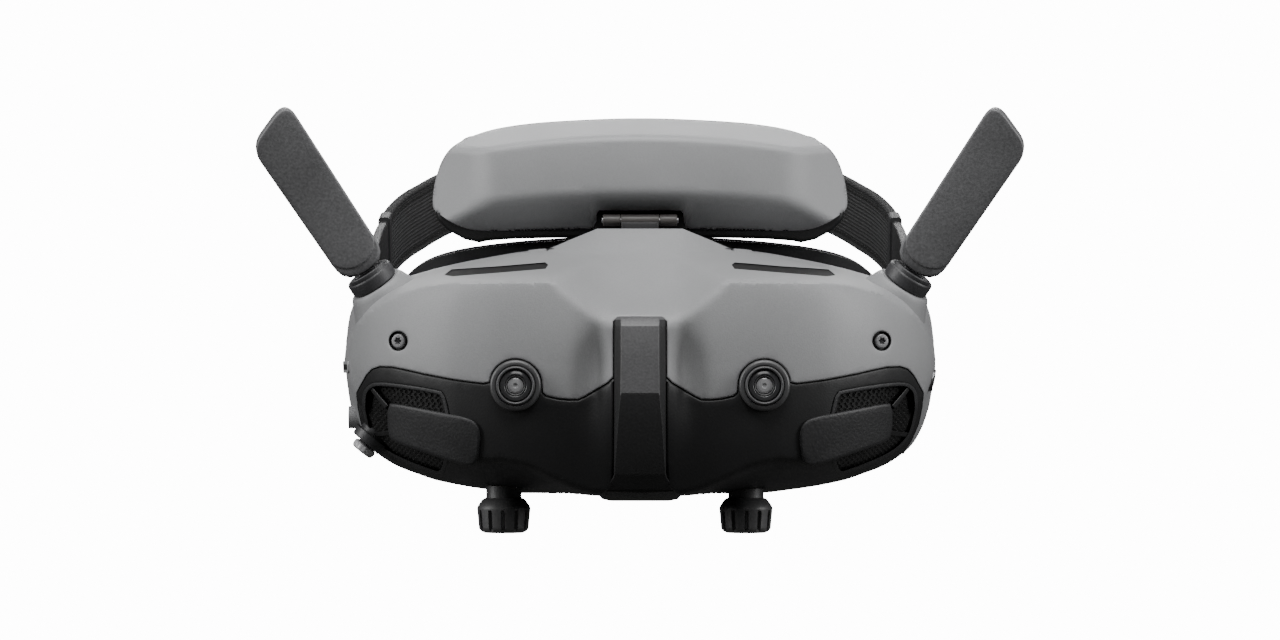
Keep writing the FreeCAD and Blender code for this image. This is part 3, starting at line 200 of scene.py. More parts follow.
def webbing(name, col):
    """Ribbed strap: close ribs along the band and a darker woven ground."""
    m, nt, p = new_mat(name)
    uv = nt.nodes.new("ShaderNodeUVMap")
    uv.uv_map = "along"
    sep = nt.nodes.new("ShaderNodeSeparateXYZ")
    nt.links.new(uv.outputs[0], sep.inputs[0])
    rib = mathn(nt, "SINE", mathn(nt, "MULTIPLY", sep.outputs[1], val=2 * math.pi / 0.0011))
    rib = map_range(nt, rib, 0.0, 1.0, -1.0, 1.0)
    yarn = mathn(nt, "SINE", mathn(nt, "MULTIPLY", sep.outputs[0], val=2 * math.pi / 0.0007))
    yarn = map_range(nt, yarn, 0.0, 1.0, -1.0, 1.0)
    v = tex_coord(nt)
    fuzz = noise(nt, v, 1500.0, 3.0, 0.7)
    h = mathn(nt, "ADD", mathn(nt, "ADD", rib, mathn(nt, "MULTIPLY", yarn, val=0.3)), mathn(nt, "MULTIPLY", fuzz, val=0.4))
    nt.links.new(ramp(nt, mathn(nt, "MULTIPLY", h, val=0.6), [(0.15, c3(col, 0.35)), (0.85, c3(col, 1.7))]), p.inputs["Base Color"])
    nt.links.new(map_range(nt, fuzz, 0.75, 0.95, 0.3, 0.7), p.inputs["Roughness"])
    p.inputs["Sheen Weight"].default_value = 0.04
    p.inputs["Specular IOR Level"].default_value = 0.25
    bump(nt, p, h, 0.00028, 0.9)
    return m


def mesh_mat(name, col, pitch):
    """Perforated metal sheet: rows of round holes as dark wells."""
    m, nt, p = new_mat(name)
    v = tex_coord(nt, (1 / pitch, 1 / pitch, 1 / pitch), (0, math.radians(45), 0))
    vor = nt.nodes.new("ShaderNodeTexVoronoi")
    vor.feature = "F1"
    vor.inputs["Randomness"].default_value = 0.0
    vor.inputs["Scale"].default_value = 1.0
    nt.links.new(v, vor.inputs["Vector"])
    d = vor.outputs["Distance"]
    nt.links.new(ramp(nt, d, [(0.34, (0.002, 0.002, 0.002)), (0.46, col)]), p.inputs["Base Color"])
    nt.links.new(map_range(nt, d, 0.9, 0.45, 0.3, 0.5), p.inputs["Roughness"])
    p.inputs["Metallic"].default_value = 0.4
    bump(nt, p, map_range(nt, d, 0.0, 1.0, 0.3, 0.5), 0.0004, 1.0)
    return m


def glass(name, col, rough=0.03, alpha=1.0, coat=1.0, transmission=0.0):
    m, nt, p = new_mat(name)
    v = tex_coord(nt)
    n1 = noise(nt, v, 220.0, 4.0, 0.6)
    nt.links.new(ramp(nt, n1, [(0.3, c3(col, 0.9)), (0.7, c3(col, 1.1))]), p.inputs["Base Color"])
    nt.links.new(map_range(nt, n1, rough, rough + 0.03, 0.3, 0.7), p.inputs["Roughness"])
    p.inputs["Coat Weight"].default_value = coat
    p.inputs["Coat Roughness"].default_value = 0.02
    p.inputs["Transmission Weight"].default_value = transmission
    bump(nt, p, n1, 0.000002, 0.3)
    return m


def board(name):
    m, nt, p = new_mat(name)
    v = tex_coord(nt, (700, 700, 700))
    br = nt.nodes.new("ShaderNodeTexBrick")
    br.inputs["Scale"].default_value = 0.5
    br.inputs["Color1"].default_value = (0.010, 0.085, 0.045, 1)
    br.inputs["Color2"].default_value = (0.014, 0.11, 0.06, 1)
    br.inputs["Mortar"].default_value = (0.28, 0.20, 0.07, 1)
    br.inputs["Mortar Size"].default_value = 0.012
    nt.links.new(v, br.inputs["Vector"])
    nt.links.new(br.outputs["Color"], p.inputs["Base Color"])
    nt.links.new(map_range(nt, noise(nt, v, 3.0), 0.3, 0.5, 0.3, 0.7), p.inputs["Roughness"])
    bump(nt, p, br.outputs["Fac"], 0.00003, 0.6)
    return m


M = {
    "grey": plastic("shell_grey_mat", (0.212, 0.214, 0.218), 0.52, 3000.0, 0.000035, 0.10, 0.45),
    "padgrey": plastic("pad_grey_mat", (0.255, 0.257, 0.262), 0.50, 3000.0, 0.000030, 0.08, 0.45),
    "black": plastic("cover_black_mat", (0.0095, 0.0095, 0.010), 0.50, 2400.0, 0.000045, 0.15, 0.35),
    "plate": plastic("louvre_plate_mat", (0.017, 0.017, 0.018), 0.52, 1500.0, 0.00012, 0.30, 0.4),
    "gloss": plastic("bezel_mat", (0.020, 0.020, 0.020), 0.28, 2400.0, 0.00001, 0.08, 0.5, coat=0.3),
    "strip": plastic("strip_mat", (0.064, 0.064, 0.066), 0.46, 1700.0, 0.00007, 0.22, 0.5),
    # darker copy of the strip colour: painted shade for the lower and side faces of the nose strip
    "strip_painted_shade": plastic("strip_painted_shade_mat", (0.012, 0.012, 0.0125), 0.52, 1700.0, 0.00009, 0.25, 0.35),
    "surround": plastic("surround_mat", (0.050, 0.050, 0.051), 0.40, 2400.0, 0.00003, 0.12, 0.5),
    "hinge": plastic("hinge_mat", (0.075, 0.070, 0.067), 0.38, 2200.0, 0.00003, 0.12, 0.5),
    "antenna": plastic("antenna_mat", (0.105, 0.105, 0.108), 0.50, 1500.0, 0.00008, 0.30, 0.5),
    "knob": plastic("knob_mat", (0.055, 0.055, 0.056), 0.48, 1800.0, 0.00006, 0.18, 0.5),
    "rubber": plastic("rubber_mat", (0.016, 0.016, 0.017), 0.72, 1200.0, 0.00006, 0.18, 0.3),
    "arm": plastic("arm_mat", (0.014, 0.014, 0.015), 0.55, 2200.0, 0.00006, 0.18, 0.45),
    "case": plastic("case_mat", (0.030, 0.030, 0.032), 0.50, 1800.0, 0.00007, 0.2, 0.45),
    "silver": plastic("stick_mat", (0.36, 0.36, 0.37), 0.34, 2400.0, 0.00003, 0.08, 0.5, coat=0.2),
    # near-black inner plastic; also the painted shade of the jack, socket and card slot openings
    "inner": plastic("liner_and_opening_shade_mat", (0.010, 0.010, 0.010), 0.7, 1500.0, 0.00005, 0.15, 0.25),
    "steel": metal("steel_mat", (0.34, 0.34, 0.35), 0.32),
    "screw": metal("screw_mat", (0.22, 0.22, 0.225), 0.42, metallic=0.35),
    "alu": metal("alu_mat", (0.72, 0.72, 0.74), 0.35),
    "mesh": mesh_mat("mesh_mat", (0.007, 0.007, 0.007), 0.0011),
    "knit": knit("knit_mat", (0.014, 0.014, 0.015)),
    "web": webbing("web_mat", (0.0125, 0.0125, 0.013)),
    "stitch": knit("stitch_mat", (0.009, 0.009, 0.0095), 3000.0, 0.0001, 0.04),
    "thread": knit("thread_mat", (0.006, 0.006, 0.006), 3000.0, 0.0001, 0.04),
    "glass": glass("camera_glass_mat", (0.045, 0.045, 0.047), 0.16, coat=0.3),
    "iris": glass("iris_mat", (0.26, 0.26, 0.265), 0.20, coat=0.4),
    "lens": glass("lens_mat", (0.62, 0.66, 0.70), 0.02, transmission=0.85),
    "panel": glass("panel_mat", (0.010, 0.011, 0.016), 0.08),
    "board": board("board_mat"),
    "cell": plastic("cell_mat", (0.02, 0.10, 0.22), 0.25, 900.0, 0.00002, 0.1, 0.5, coat=0.4),
    "light": plastic("light_mat", (0.55, 0.60, 0.60), 0.30, 900.0, 0.00001, 0.05, 0.5),
}

# ------------------------------------------------------------------ mesh helpers
def sharpen(me, angle=32.0):
    me.shade_smooth()
    me.set_sharp_from_angle(angle=math.radians(angle))


def mk(name, verts, faces, mat, body, angle=32.0, smooth=True, mats=None, fmat=None, weld=0.0, normals=True):
    """A piece from points in millimetres."""
    me = bpy.data.meshes.new(name)
    me.from_pydata([(float(v[0]) * MM, float(v[1]) * MM, float(v[2]) * MM) for v in verts], [], [list(map(int, f)) for f in faces])
    me.update()
    ob = bpy.data.objects.new(name, me)
    bpy.context.scene.collection.objects.link(ob)
    for m_ in (mats or [mat]):
        me.materials.append(M[m_])
    if fmat is not None:
        for poly, k in zip(me.polygons, fmat):
            poly.material_index = int(k)
    bm = bmesh.new()
    bm.from_mesh(me)
    if weld:
        bmesh.ops.remove_doubles(bm, verts=bm.verts, dist=weld * MM)
    if normals:
        bmesh.ops.recalc_face_normals(bm, faces=bm.faces)
    bm.to_mesh(me)
    bm.free()
    if smooth:
        sharpen(me, angle)
    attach(ob, body)
    return ob


def frame_from(origin, zdir, xhint=(1, 0, 0)):
    z = Vector(zdir).normalized()
    x = Vector(xhint)
    x = (x - z * x.dot(z)).normalized()
    y = z.cross(x)
    m_ = Matrix.Identity(4)
    for i, a in enumerate((x, y, z)):
        m_[0][i], m_[1][i], m_[2][i] = a
    m_[0][3], m_[1][3], m_[2][3] = origin
    return m_


def round_profile(profile, r=0.3, n=3, closed=False):
    """Rounds the corners of a polyline with small arcs."""
    out = []
    P_ = [Vector((a, b)) for a, b in profile]
    N = len(P_)
    for i, p in enumerate(P_):
        if not closed and (i == 0 or i == N - 1):
            out.append(tuple(p))
            continue
        a, b = P_[i - 1], P_[(i + 1) % N]
        ra, rb = (a - p), (b - p)
        la, lb = ra.length, rb.length
        if la < 1e-6 or lb < 1e-6:
            out.append(tuple(p))
            continue
        t = min(r, la * 0.45, lb * 0.45)
        p0, p1 = p + ra * (t / la), p + rb * (t / lb)
        for k in range(n + 1):
            s = k / n
            q = p0 * (1 - s) ** 2 + p * 2 * s * (1 - s) + p1 * s ** 2
            out.append((q.x, q.y))
    return out


def lathe(name, profile, mtx, mat, body, segs=64, r=0.3, angle=32.0, mod=None, mats=None, cut=None):
    """Profile of (radius, height) turned about the local Z axis of mtx."""
    pr = round_profile(profile, r) if r else list(profile)
    verts, faces = [], []
    for (rad, h) in pr:
        for k in range(segs):
            a = 2 * math.pi * k / segs
            rr = max(rad, 0.0005)
            if mod:
                rr = mod(rr, h, a)
            verts.append(mtx @ Vector((rr * math.cos(a), rr * math.sin(a), h)))
    for i in range(len(pr) - 1):
        for k in range(segs):
            a, b = i * segs + k, i * segs + (k + 1) % segs
            faces.append((a, b, b + segs, a + segs))
    if pr[0][0] < 0.01:
        faces.append(tuple(range(segs)))
    if pr[-1][0] < 0.01:
        base = (len(pr) - 1) * segs
        faces.append(tuple(base + k for k in range(segs)))
    return mk(name, verts, faces, mat, body, angle, mats=mats)


def inside(poly, x, z):
    """Even-odd test, arrays of points against one loop."""
    x, z = np.asarray(x), np.asarray(z)
    res = np.zeros(x.shape, bool)
    n = len(poly)
    for i in range(n):
        x0, z0 = poly[i]
        x1, z1 = poly[(i + 1) % n]
        if z0 == z1:
            continue
        c = ((z0 > z) != (z1 > z)) & (x < (x1 - x0) * (z - z0) / (z1 - z0) + x0)
        res ^= c
    return res


def dist_to(poly, x, z):
    x, z = np.asarray(x, float), np.asarray(z, float)
    best = np.full(x.shape, 1e9)
    n = len(poly)
    for i in range(n):
        a = np.array(poly[i], float)
        b = np.array(poly[(i + 1) % n], float)
        d = b - a
        L2 = max(1e-12, d @ d)
        t = np.clip(((x - a[0]) * d[0] + (z - a[1]) * d[1]) / L2, 0, 1)
        best = np.minimum(best, np.hypot(x - a[0] - t * d[0], z - a[1] - t * d[1]))
    return best


def resample(poly, step, closed=True):
    pts = []
    n = len(poly)
    for i in range(n if closed else n - 1):
        a, b = np.array(poly[i], float), np.array(poly[(i + 1) % n], float)
        L = np.hypot(*(b - a))
        k = max(1, int(math.ceil(L / step)))
        for j in range(k):
            pts.append(tuple(a + (b - a) * j / k))
    if not closed:
        pts.append(tuple(map(float, poly[-1])))
    return pts


def chaikin(poly, n=2, closed=True, keep=()):
    for _ in range(n):
        out = []
        N = len(poly)
        for i in range(N if closed else N - 1):
            a, b = poly[i], poly[(i + 1) % N]
            out.append((a[0] * 0.75 + b[0] * 0.25, a[1] * 0.75 + b[1] * 0.25))
            out.append((a[0] * 0.25 + b[0] * 0.75, a[1] * 0.25 + b[1] * 0.75))
        if not closed:
            out = [poly[0]] + out + [poly[-1]]
        poly = out
    return poly


def area2(poly):
    return 0.5 * sum(poly[i][0] * poly[(i + 1) % len(poly)][1] - poly[(i + 1) % len(poly)][0] * poly[i][1] for i in range(len(poly)))


def ccw(poly):
    return list(poly) if area2(poly) > 0 else list(reversed(poly))


def inset(poly, d):
    """Moves a counter-clockwise loop inwards by d."""
    n = len(poly)
    out = []
    for i in range(n):
        a, p, b = np.array(poly[i - 1], float), np.array(poly[i], float), np.array(poly[(i + 1) % n], float)
        t0, t1 = p - a, b - p
        t0 /= max(1e-9, np.hypot(*t0))
        t1 /= max(1e-9, np.hypot(*t1))
        n0, n1 = np.array((-t0[1], t0[0])), np.array((-t1[1], t1[0]))
        m_ = n0 + n1
        L = np.hypot(*m_)
        if L < 1e-6:
            out.append(tuple(p + n0 * d))
            continue
        m_ /= L
        k = 1.0 / max(0.45, float(m_ @ n0))
        out.append(tuple(p + m_ * d * k))
    return out


def interp(x, xs, ys):
    """Smooth monotone interpolation through a table."""
    xs, ys = np.asarray(xs, float), np.asarray(ys, float)
    h = np.diff(xs)
    dl = np.diff(ys) / h
    m_ = np.zeros(len(xs))
    m_[0], m_[-1] = dl[0], dl[-1]
    for i in range(1, len(xs) - 1):
        if dl[i - 1] * dl[i] <= 0:
            m_[i] = 0
        else:
            w1, w2 = 2 * h[i] + h[i - 1], h[i] + 2 * h[i - 1]
            m_[i] = (w1 + w2) / (w1 / dl[i - 1] + w2 / dl[i])
    x = np.clip(np.asarray(x, float), xs[0], xs[-1])
    k = np.clip(np.searchsorted(xs, x) - 1, 0, len(xs) - 2)
    t = (x - xs[k]) / h[k]
    return ((2 * t ** 3 - 3 * t ** 2 + 1) * ys[k] + (t ** 3 - 2 * t ** 2 + t) * h[k] * m_[k]
            + (-2 * t ** 3 + 3 * t ** 2) * ys[k + 1] + (t ** 3 - t ** 2) * h[k] * m_[k + 1])


def smin(a, b, k):
    h = np.clip(0.5 + 0.5 * (b - a) / k, 0, 1)
    return b * (1 - h) + a * h - k * h * (1 - h)


def smax(a, b, k):
    return -smin(-a, -b, k)

# ------------------------------------------------------------------ outer skin of the housing, y = -depth(x, z)
XT = [0, 26, 31.7, 42.3, 52.8, 60.8, 66, 70, 74, 76.6, 78.2, 79.0, 79.4]
ZTOP = [33.4, 33.0, 32.4, 30.6, 28.4, 26.2, 24.6, 23.3, 21.6, 19.2, 15.0, 9.0, 3.4]
XB = [0, 10, 20, 31, 41, 54.4, 60.2, 65.5, 69.5, 73, 75.4, 77.7, 78.7, 79.4]
ZBOT = [-33.3, -32.9, -32.6, -32.6, -31.6, -29.2, -27.3, -25.2, -22.8, -19.8, -16.0, -9.8, -4.0, 2.6]
XC = [0, 10, 14.6, 21, 30, 36, 45, 55, 65, 72, 79.4]
ZC = [-31.2, -31.0, -30.2, -28.0, -24.4, -23.4, -23.6, -22.6, -18.0, -12.0, 0.0]
XD = [0, 10, 20, 33, 47, 60, 69, 74, 77.6, 79.4]
DD = [99.2, 99.0, 98.6, 97.2, 92.8, 84.0, 74.2, 66.0, 56.0, 44.0]
XK = [0, 47, 60, 69, 74, 79.4]
ZK = [24.2, 23.8, 21.8, 18.0, 13.6, 3.4]
REAR = 34.0


def ridge_plane(z):
    return 99.0 - 1.98 * (z - 13.6)


def soft(v, k):
    return k * np.log1p(np.exp(np.clip(v / k, -30, 30)))


def body_depth(x, z):
    ax = np.abs(np.asarray(x, float))
    z = np.asarray(z, float)
    zt, zb = interp(ax, XT, ZTOP), interp(ax, XB, ZBOT)
    zk, zc = interp(ax, XK, ZK), interp(ax, XC, ZC)
    zc = np.maximum(zc, zb + 1.2)
    zk = np.minimum(zk, zt - 1.2)
    # side limit: the outline narrows towards the top and the bottom
    ztab = np.array([-33.3, -31.6, -29.2, -25.2, -22.8, -19.8, -16, -9.8, -4, 2.8, 9, 15, 19.2, 21.6, 24.6, 28.4, 33.4])
    xtab = np.array([52.0, 58.0, 66.0, 71.0, 72.5, 74.5, 76.2, 77.9, 78.8, 79.4, 79.1, 78.5, 77.6, 76.6, 74.0, 70.0, 66.0])
    xs = interp(z, ztab, xtab)
    d0 = interp(np.minimum(ax * 79.4 / xs, 79.4), XD, DD)
    front = d0 - 0.0050 * np.clip(z - 4, 0, None) ** 2 - 0.0052 * np.clip(2.0 - z, 0, None) ** 2
    t = 1 - np.clip((zt - z) / (zt - zk), 0, 1) ** 0.56
    deck = (d0 - 2.6) - t * (d0 - 2.6 - REAR)
    deck = np.where(z < zk, d0 - 2.6 + (zk - z) * 7.0, deck)
    u = 1 - np.clip((z - zb) / (zc - zb), 0, 1) ** 0.50
    low = (d0 - 6.5) - u * (d0 - 6.5 - REAR)
    low = np.where(z > zc, d0 - 6.5 + (z - zc) * 3.2, low)
    d = smin(front, deck, 4.2)
    d = smin(d, low, 3.0)
    # the middle dips down to the nose strip between the two brows
    lim = ridge_plane(z) + 1.55 * soft(ax - 9.6, 1.7)
    d = smin(d, lim, 4.5)
    # shallow hollows on both sides of the strip
    d = d - 3.4 * np.exp(-((ax - 11.2) / 4.0) ** 2) * np.exp(-((z - 2.0) / 13.0) ** 2)
    # corner plane below each antenna
    pl = 58.0 - (0.526 * (ax - 69.9) + 0.81 * (z - 23.4)) / 0.259
    d = smin(d, np.maximum(pl, REAR), 2.0)
    return np.maximum(d, REAR)


def ridge_top(ax):
    return np.where(ax < 11.4, 38.3, 38.3 - 0.41 * (ax - 11.4))


def depth(x, z):
    ax = np.abs(np.asarray(x, float))
    z = np.asarray(z, float)
    d = body_depth(x, z)
    rd = ridge_plane(z) - 0.95 * soft(ax - 11.0, 1.0)
    d2 = smax(d, rd, 2.6)
    near = np.clip((z - 24.0) / 5.0, 0, 1) * (ax < 30)
    return d * (1 - near) + d2 * near


def front_outline():
    """Silhouette of the housing seen from the front, counter-clockwise, with the hinge ridge."""
    xs_top = np.concatenate([np.linspace(0, 11.4, 10), np.linspace(12.2, 24.0, 14)])
    top = [(x, float(ridge_top(np.array(x)))) for x in xs_top]
    xx = np.concatenate([np.linspace(25.2, 74, 50), np.linspace(74.6, 78.2, 10), np.linspace(78.5, 79.35, 8)])
    top += [(float(x), float(interp(x, XT, ZTOP))) for x in xx]
    xb = np.concatenate([np.linspace(79.35, 77.7, 10), np.linspace(77.0, 69.5, 14), np.linspace(68.4, 0, 60)])
    bot = [(float(x), float(interp(x, XB, ZBOT))) for x in xb]
    right = top + bot                      # from top middle, clockwise round to bottom middle
    left = [(-x, z) for x, z in reversed(right) if x > 1e-6]
    return right, left


def skirt_y(x, z):
    """How far back the wall behind an outline point runs."""
    ax = abs(x)
    return -48.6 if (ax < 24.6 and z > float(interp(ax, XT, ZTOP)) + 0.4) else -REAR


def grid_points(sx=1.25, sz=1.1):
    a = np.linspace(-1, 1, int(158.8 / sx))
    xg = 79.4 * (0.62 * a + 0.38 * np.sin(a * math.pi / 2))
    pts = []
    for x in xg:
        ax = abs(x)
        zt = max(float(interp(ax, XT, ZTOP)), float(ridge_top(np.array(ax))) if ax < 24.3 else -99)
        zb = float(interp(ax, XB, ZBOT))
        n = max(6, int((zt - zb) / sz))
        b = np.linspace(-1, 1, n + 1)
        s = 0.40 * b + 0.60 * np.sin(b * math.pi / 2)
        for z in (zt + zb) / 2 + s * (zt - zb) / 2:
            pts.append((x, float(z)))
    return pts


GRID = grid_points()


def skin(name, loop, holes, mat, body, free=(), func=depth, edge=0.45, wall=2.2, gap=0.14, extra=(), clear=0.5, grid=None, angle=40.0, lift=0.0, skirts=True, hole_wall=None, step=0.9):
    """A shell panel: the part of the skin inside loop, without the holes, with rolled edges.
    free(x, z) says which stretch of the outline is the housing's own silhouette, where the wall runs back."""
    loop = ccw(resample(loop, step))
    L = len(loop)
    on_sil = [bool(free(*p)) if callable(free) else False for p in loop]
    rings = []
    base = inset(loop, gap)
    base = [p if s else q for p, q, s in zip(loop, base, on_sil)]
    r = edge
    levels = [(r, 0.0), (r * 0.55, r * 0.10), (r * 0.22, r * 0.38), (0.0, r)]
    loops = []
    for off, dep in levels:
        q = inset(base, off) if off > 0 else base
        loops.append([(b if s else p, (0.0 if s else dep)) for b, p, s in zip(base, q, on_sil)])
    verts2, vid = [], {}
    # 2D triangulation inside the first ring
    main = [p for p, _ in loops[0]]
    coords = list(main)
    segs = [(i, (i + 1) % L) for i in range(L)]
    hloops = []
    for h in holes:
        h = list(reversed(ccw(resample(h, min(step, 0.8)))))
        hb = inset(h, gap)          # clockwise loop: inset moves away from the hole
        lv = []
        for off, dep in levels:
            lv.append([(p, dep) for p in (inset(hb, off) if off > 0 else hb)])
        s0 = len(coords)
        coords += [p for p, _ in lv[0]]
        segs += [(s0 + i, s0 + (i + 1) % len(h)) for i in range(len(h))]
        hloops.append((s0, lv))
    g = np.array(list(grid or GRID) + list(extra))
    keep = inside(main, g[:, 0], g[:, 1]) & (dist_to(main, g[:, 0], g[:, 1]) > clear)
    for s0, lv in hloops:
        hp = [p for p, _ in lv[0]]
        keep &= ~inside(hp, g[:, 0], g[:, 1]) & (dist_to(hp, g[:, 0], g[:, 1]) > clear)
    coords += [tuple(p) for p in g[keep]]
    vs, es, fs, ov, oe, of = delaunay_2d_cdt([Vector(c) for c in coords], segs, [], 0, 1e-5)
    vmap = {}
    for i, src in enumerate(ov):
        for s in src:
            vmap[s] = i
    V2 = np.array([(v[0], v[1]) for v in vs])
    faces = []
    cen = np.array([V2[list(f)].mean(axis=0) for f in fs])
    ok = inside(main, cen[:, 0], cen[:, 1])
    for s0, lv in hloops:
        ok &= ~inside([p for p, _ in lv[0]], cen[:, 0], cen[:, 1])
    for f, k in zip(fs, ok):
        if k:
            faces.append(tuple(f))
    dv = func(V2[:, 0], V2[:, 1]) + lift
    verts = [(V2[i, 0], -dv[i], V2[i, 1]) for i in range(len(V2))]

    def add_ring(pts, extra_depth, sil):
        ids = []
        arr = np.array([p for p in pts])
        dd = func(arr[:, 0], arr[:, 1]) + lift
        for (x, z), d_, e, s in zip(pts, dd, extra_depth, sil):
            verts.append((x, -(d_ - e), z))
            ids.append(len(verts) - 1)
        return ids

    def stitch(a, b):
        n = len(a)
        for i in range(n):
            j = (i + 1) % n
            if a[i] == b[i] and a[j] == b[j]:
                continue
            faces.append((a[i], a[j], b[j], b[i]))

    def roll(prev, lv, sil, w):
        for ring in lv[1:]:
            pts = [p for p, _ in ring]
            ids = add_ring(pts, [e for _, e in ring], sil)
            ids = [p if s else q for p, q, s in zip(prev, ids, sil)]
            stitch(prev, ids)
            prev = ids
        pts = [p for p, _ in lv[-1]]
        arr = np.array(pts)
        dd = func(arr[:, 0], arr[:, 1]) + lift
        ids = []
        for (x, z), d_, s in zip(pts, dd, sil):
            y = skirt_y(x, z) if s else -(d_ - w)
            if s and y < -(d_) + 0.01:
                y = -(d_) + 0.01
            verts.append((x, y, z))
            ids.append(len(verts) - 1)
        stitch(prev, ids)

    ids0 = [vmap[i] for i in range(L)]
    roll(ids0, loops, on_sil if skirts else [False] * L, wall)
    for s0, lv in hloops:
        n = len(lv[0])
        roll([vmap[s0 + i] for i in range(n)], lv, [False] * n, hole_wall or wall)
    ob = mk(name, verts, faces, mat, body, angle)
    return ob


# seam between the two colours, right-hand half (x below 0); the other half is its mirror image
CAM_X, CAM_Z = 31.9, -2.8
seam_side = [(-70.4, -21.8), (-72.4, -18.6), (-74.3, -13.7), (-74.9, -9.0), (-74.6, -5.2)]
seam_mid = [(-71.69, -0.59), (-70.03, 1.08), (-67.79, 1.79), (-64.18, 1.69), (-60.28, 0.95), (-56.41, 0.10), (-51.95, -0.72), (-47.69, -1.49), (-43.59, -2.03), (-40.26, -2.41)]
ring_loop = []
for k in range(0, 17):
    a = math.radians(174 - k * (174 - 2) / 16.0)
    ring_loop.append((-CAM_X + 6.75 * math.cos(a), CAM_Z + 6.75 * math.sin(a)))
seam_in = [(-25.03, -4.67), (-24.05, -5.56), (-21.10, -6.23), (-18.15, -6.51), (-15.79, -6.49), (-14.03, -5.69), (-11.08, -3.92), (-8.15, -2.15), (-7.03, -0.97), (-6.75, -0.8)]
SEAM_L = seam_side + seam_mid + ring_loop + seam_in            # from the bottom outline to the strip, wearer's right
STRIP_HALF = [(-6.75, 13.6), (-5.6, 14.7)]
right, left = front_outline()
sil_all = right + left


def near_sil(x, z):
    ax = abs(x)
    zt = float(ridge_top(np.array(ax))) if ax < 24.6 else float(interp(ax, XT, ZTOP))
    zb = float(interp(ax, XB, ZBOT))
    return abs(z - zt) < 0.03 or abs(z - zb) < 0.03 or ax > 79.3


def split_bottom(x_at):
    """Outline points from the bottom at x_at round by the side and the top to the mirrored point."""
    out = [(x, z) for x, z in right if not (z < 0 and x < x_at)]
    return out


side_pts = split_bottom(70.4)                      # top middle .. side .. bottom at x = 70.4
zb704 = float(interp(70.4, XB, ZBOT))
up_loop = side_pts + [(70.4, zb704)] + [(-x, z) for x, z in SEAM_L] + [(-x, z) for x, z in STRIP_HALF] + list(reversed(STRIP_HALF)) + list(reversed(SEAM_L)) + [(-70.4, zb704)] + [(-x, z) for x, z in reversed(side_pts) if x > 1e-6]
low_right = [(x, z) for x, z in right if z < 0 and x < 70.4]
STRIP_W = [(-6.75, -0.8), (-6.75, -22.0), (-7.0, -26.2), (-7.2, -28.6), (-11.2, -32.75)]
low_loop = [(70.4, zb704)] + [(-x, z) for x, z in SEAM_L][0:] + [(-x, z) for x, z in STRIP_W[1:]]
low_half = [(-x, z) for x, z in SEAM_L] + [(-x, z) for x, z in STRIP_W[1:-1]] + [(11.2, float(interp(11.2, XB, ZBOT)))] + [(x, z) for x, z in reversed(low_right) if x > 11.4] + [(70.4, zb704)]


def circle_loop(cx, cz, r, n=40):
    return [(cx + r * math.cos(2 * math.pi * k / n), cz + r * math.sin(2 * math.pi * k / n)) for k in range(n)]


def dense(loop, step=0.7, rings=(0.35, 0.9, 1.7)):
    """Support points either side of a feature line, for a clean surface beside it."""
    pts = []
    lp = ccw(resample(loop, step))
    for d in rings:
        pts += inset(lp, d) + inset(lp, -d)
    return pts


VENT_TOP = [(-51.02, 25.86), (-49.73, 27.23), (-36.52, 27.99), (-24.86, 28.97), (-24.09, 28.37), (-24.61, 27.42), (-36.52, 26.43), (-48.82, 25.50)]
VENT_TOP_R = [(-x, z) for x, z in reversed(VENT_TOP)]
SCREW = (-62.79, 8.53)
holes_up = [VENT_TOP, VENT_TOP_R, circle_loop(SCREW[0], SCREW[1], 2.45, 36), circle_loop(-SCREW[0], SCREW[1], 2.45, 36)]
extra_up = []
for h in holes_up:
    extra_up += dense(h, 0.8, (-0.9, -1.8))
# the crease lines get their own rows of points
for x in np.arange(-76, 76.1, 1.1):
    zk_ = float(interp(abs(x), XK, ZK))
    for dz in (-1.2, -0.6, 0.0, 0.5, 1.0, 1.6, 2.3, 3.2):
        extra_up.append((float(x), zk_ + dz))
upper = skin("upper_skin", up_loop, holes_up, "grey", "housing", near_sil, extra=extra_up, edge=0.5, wall=2.0, gap=0.12, clear=0.42, angle=38)
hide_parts("upper_shell")

VENT_L = [(-72.79, -6.69), (-72.23, -4.46), (-70.56, -2.95), (-68.62, -2.46), (-64.18, -2.67), (-57.51, -3.49), (-53.33, -4.21), (-50.82, -4.74), (-49.59, -9.49), (-48.85, -14.21), (-49.10, -19.33), (-50.28, -23.23), (-51.67, -25.87), (-53.05, -26.56), (-54.72, -26.03), (-60.28, -24.21), (-65.28, -22.26), (-68.62, -20.31), (-71.13, -17.82), (-72.51, -14.77), (-72.92, -10.59)]
VENT_L = chaikin(VENT_L, 1)
VENT_R = [(-x, z) for x, z in reversed(VENT_L)]
for sgn, side in ((1, "left"), (-1, "right")):
    lp = [(sgn * x, z) for x, z in low_half]
    vent = VENT_R if sgn > 0 else VENT_L
    cam = circle_loop(sgn * CAM_X, CAM_Z, 5.15, 40)
    ex_ = dense(vent, 0.8, (-0.8, -1.6)) + dense(cam, 0.8, (-0.7, -1.3))
    for x in np.arange(10, 70.1, 1.1):
        zc_ = float(interp(x, XC, ZC))
        for dz in (-2.4, -1.6, -0.9, -0.3, 0.3, 0.9, 1.6, 2.4):
            ex_.append((sgn * float(x), zc_ + dz))
    pc = skin("lower_skin_" + side, lp, [vent, cam], "black", "housing", near_sil, extra=ex_, edge=0.5, wall=2.0, gap=0.12, clear=0.42, angle=38)
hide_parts("lower_cover")

# the closing liner behind every gap
def liner_depth(x, z):
    return np.maximum(depth(x, z) - 2.4, REAR)


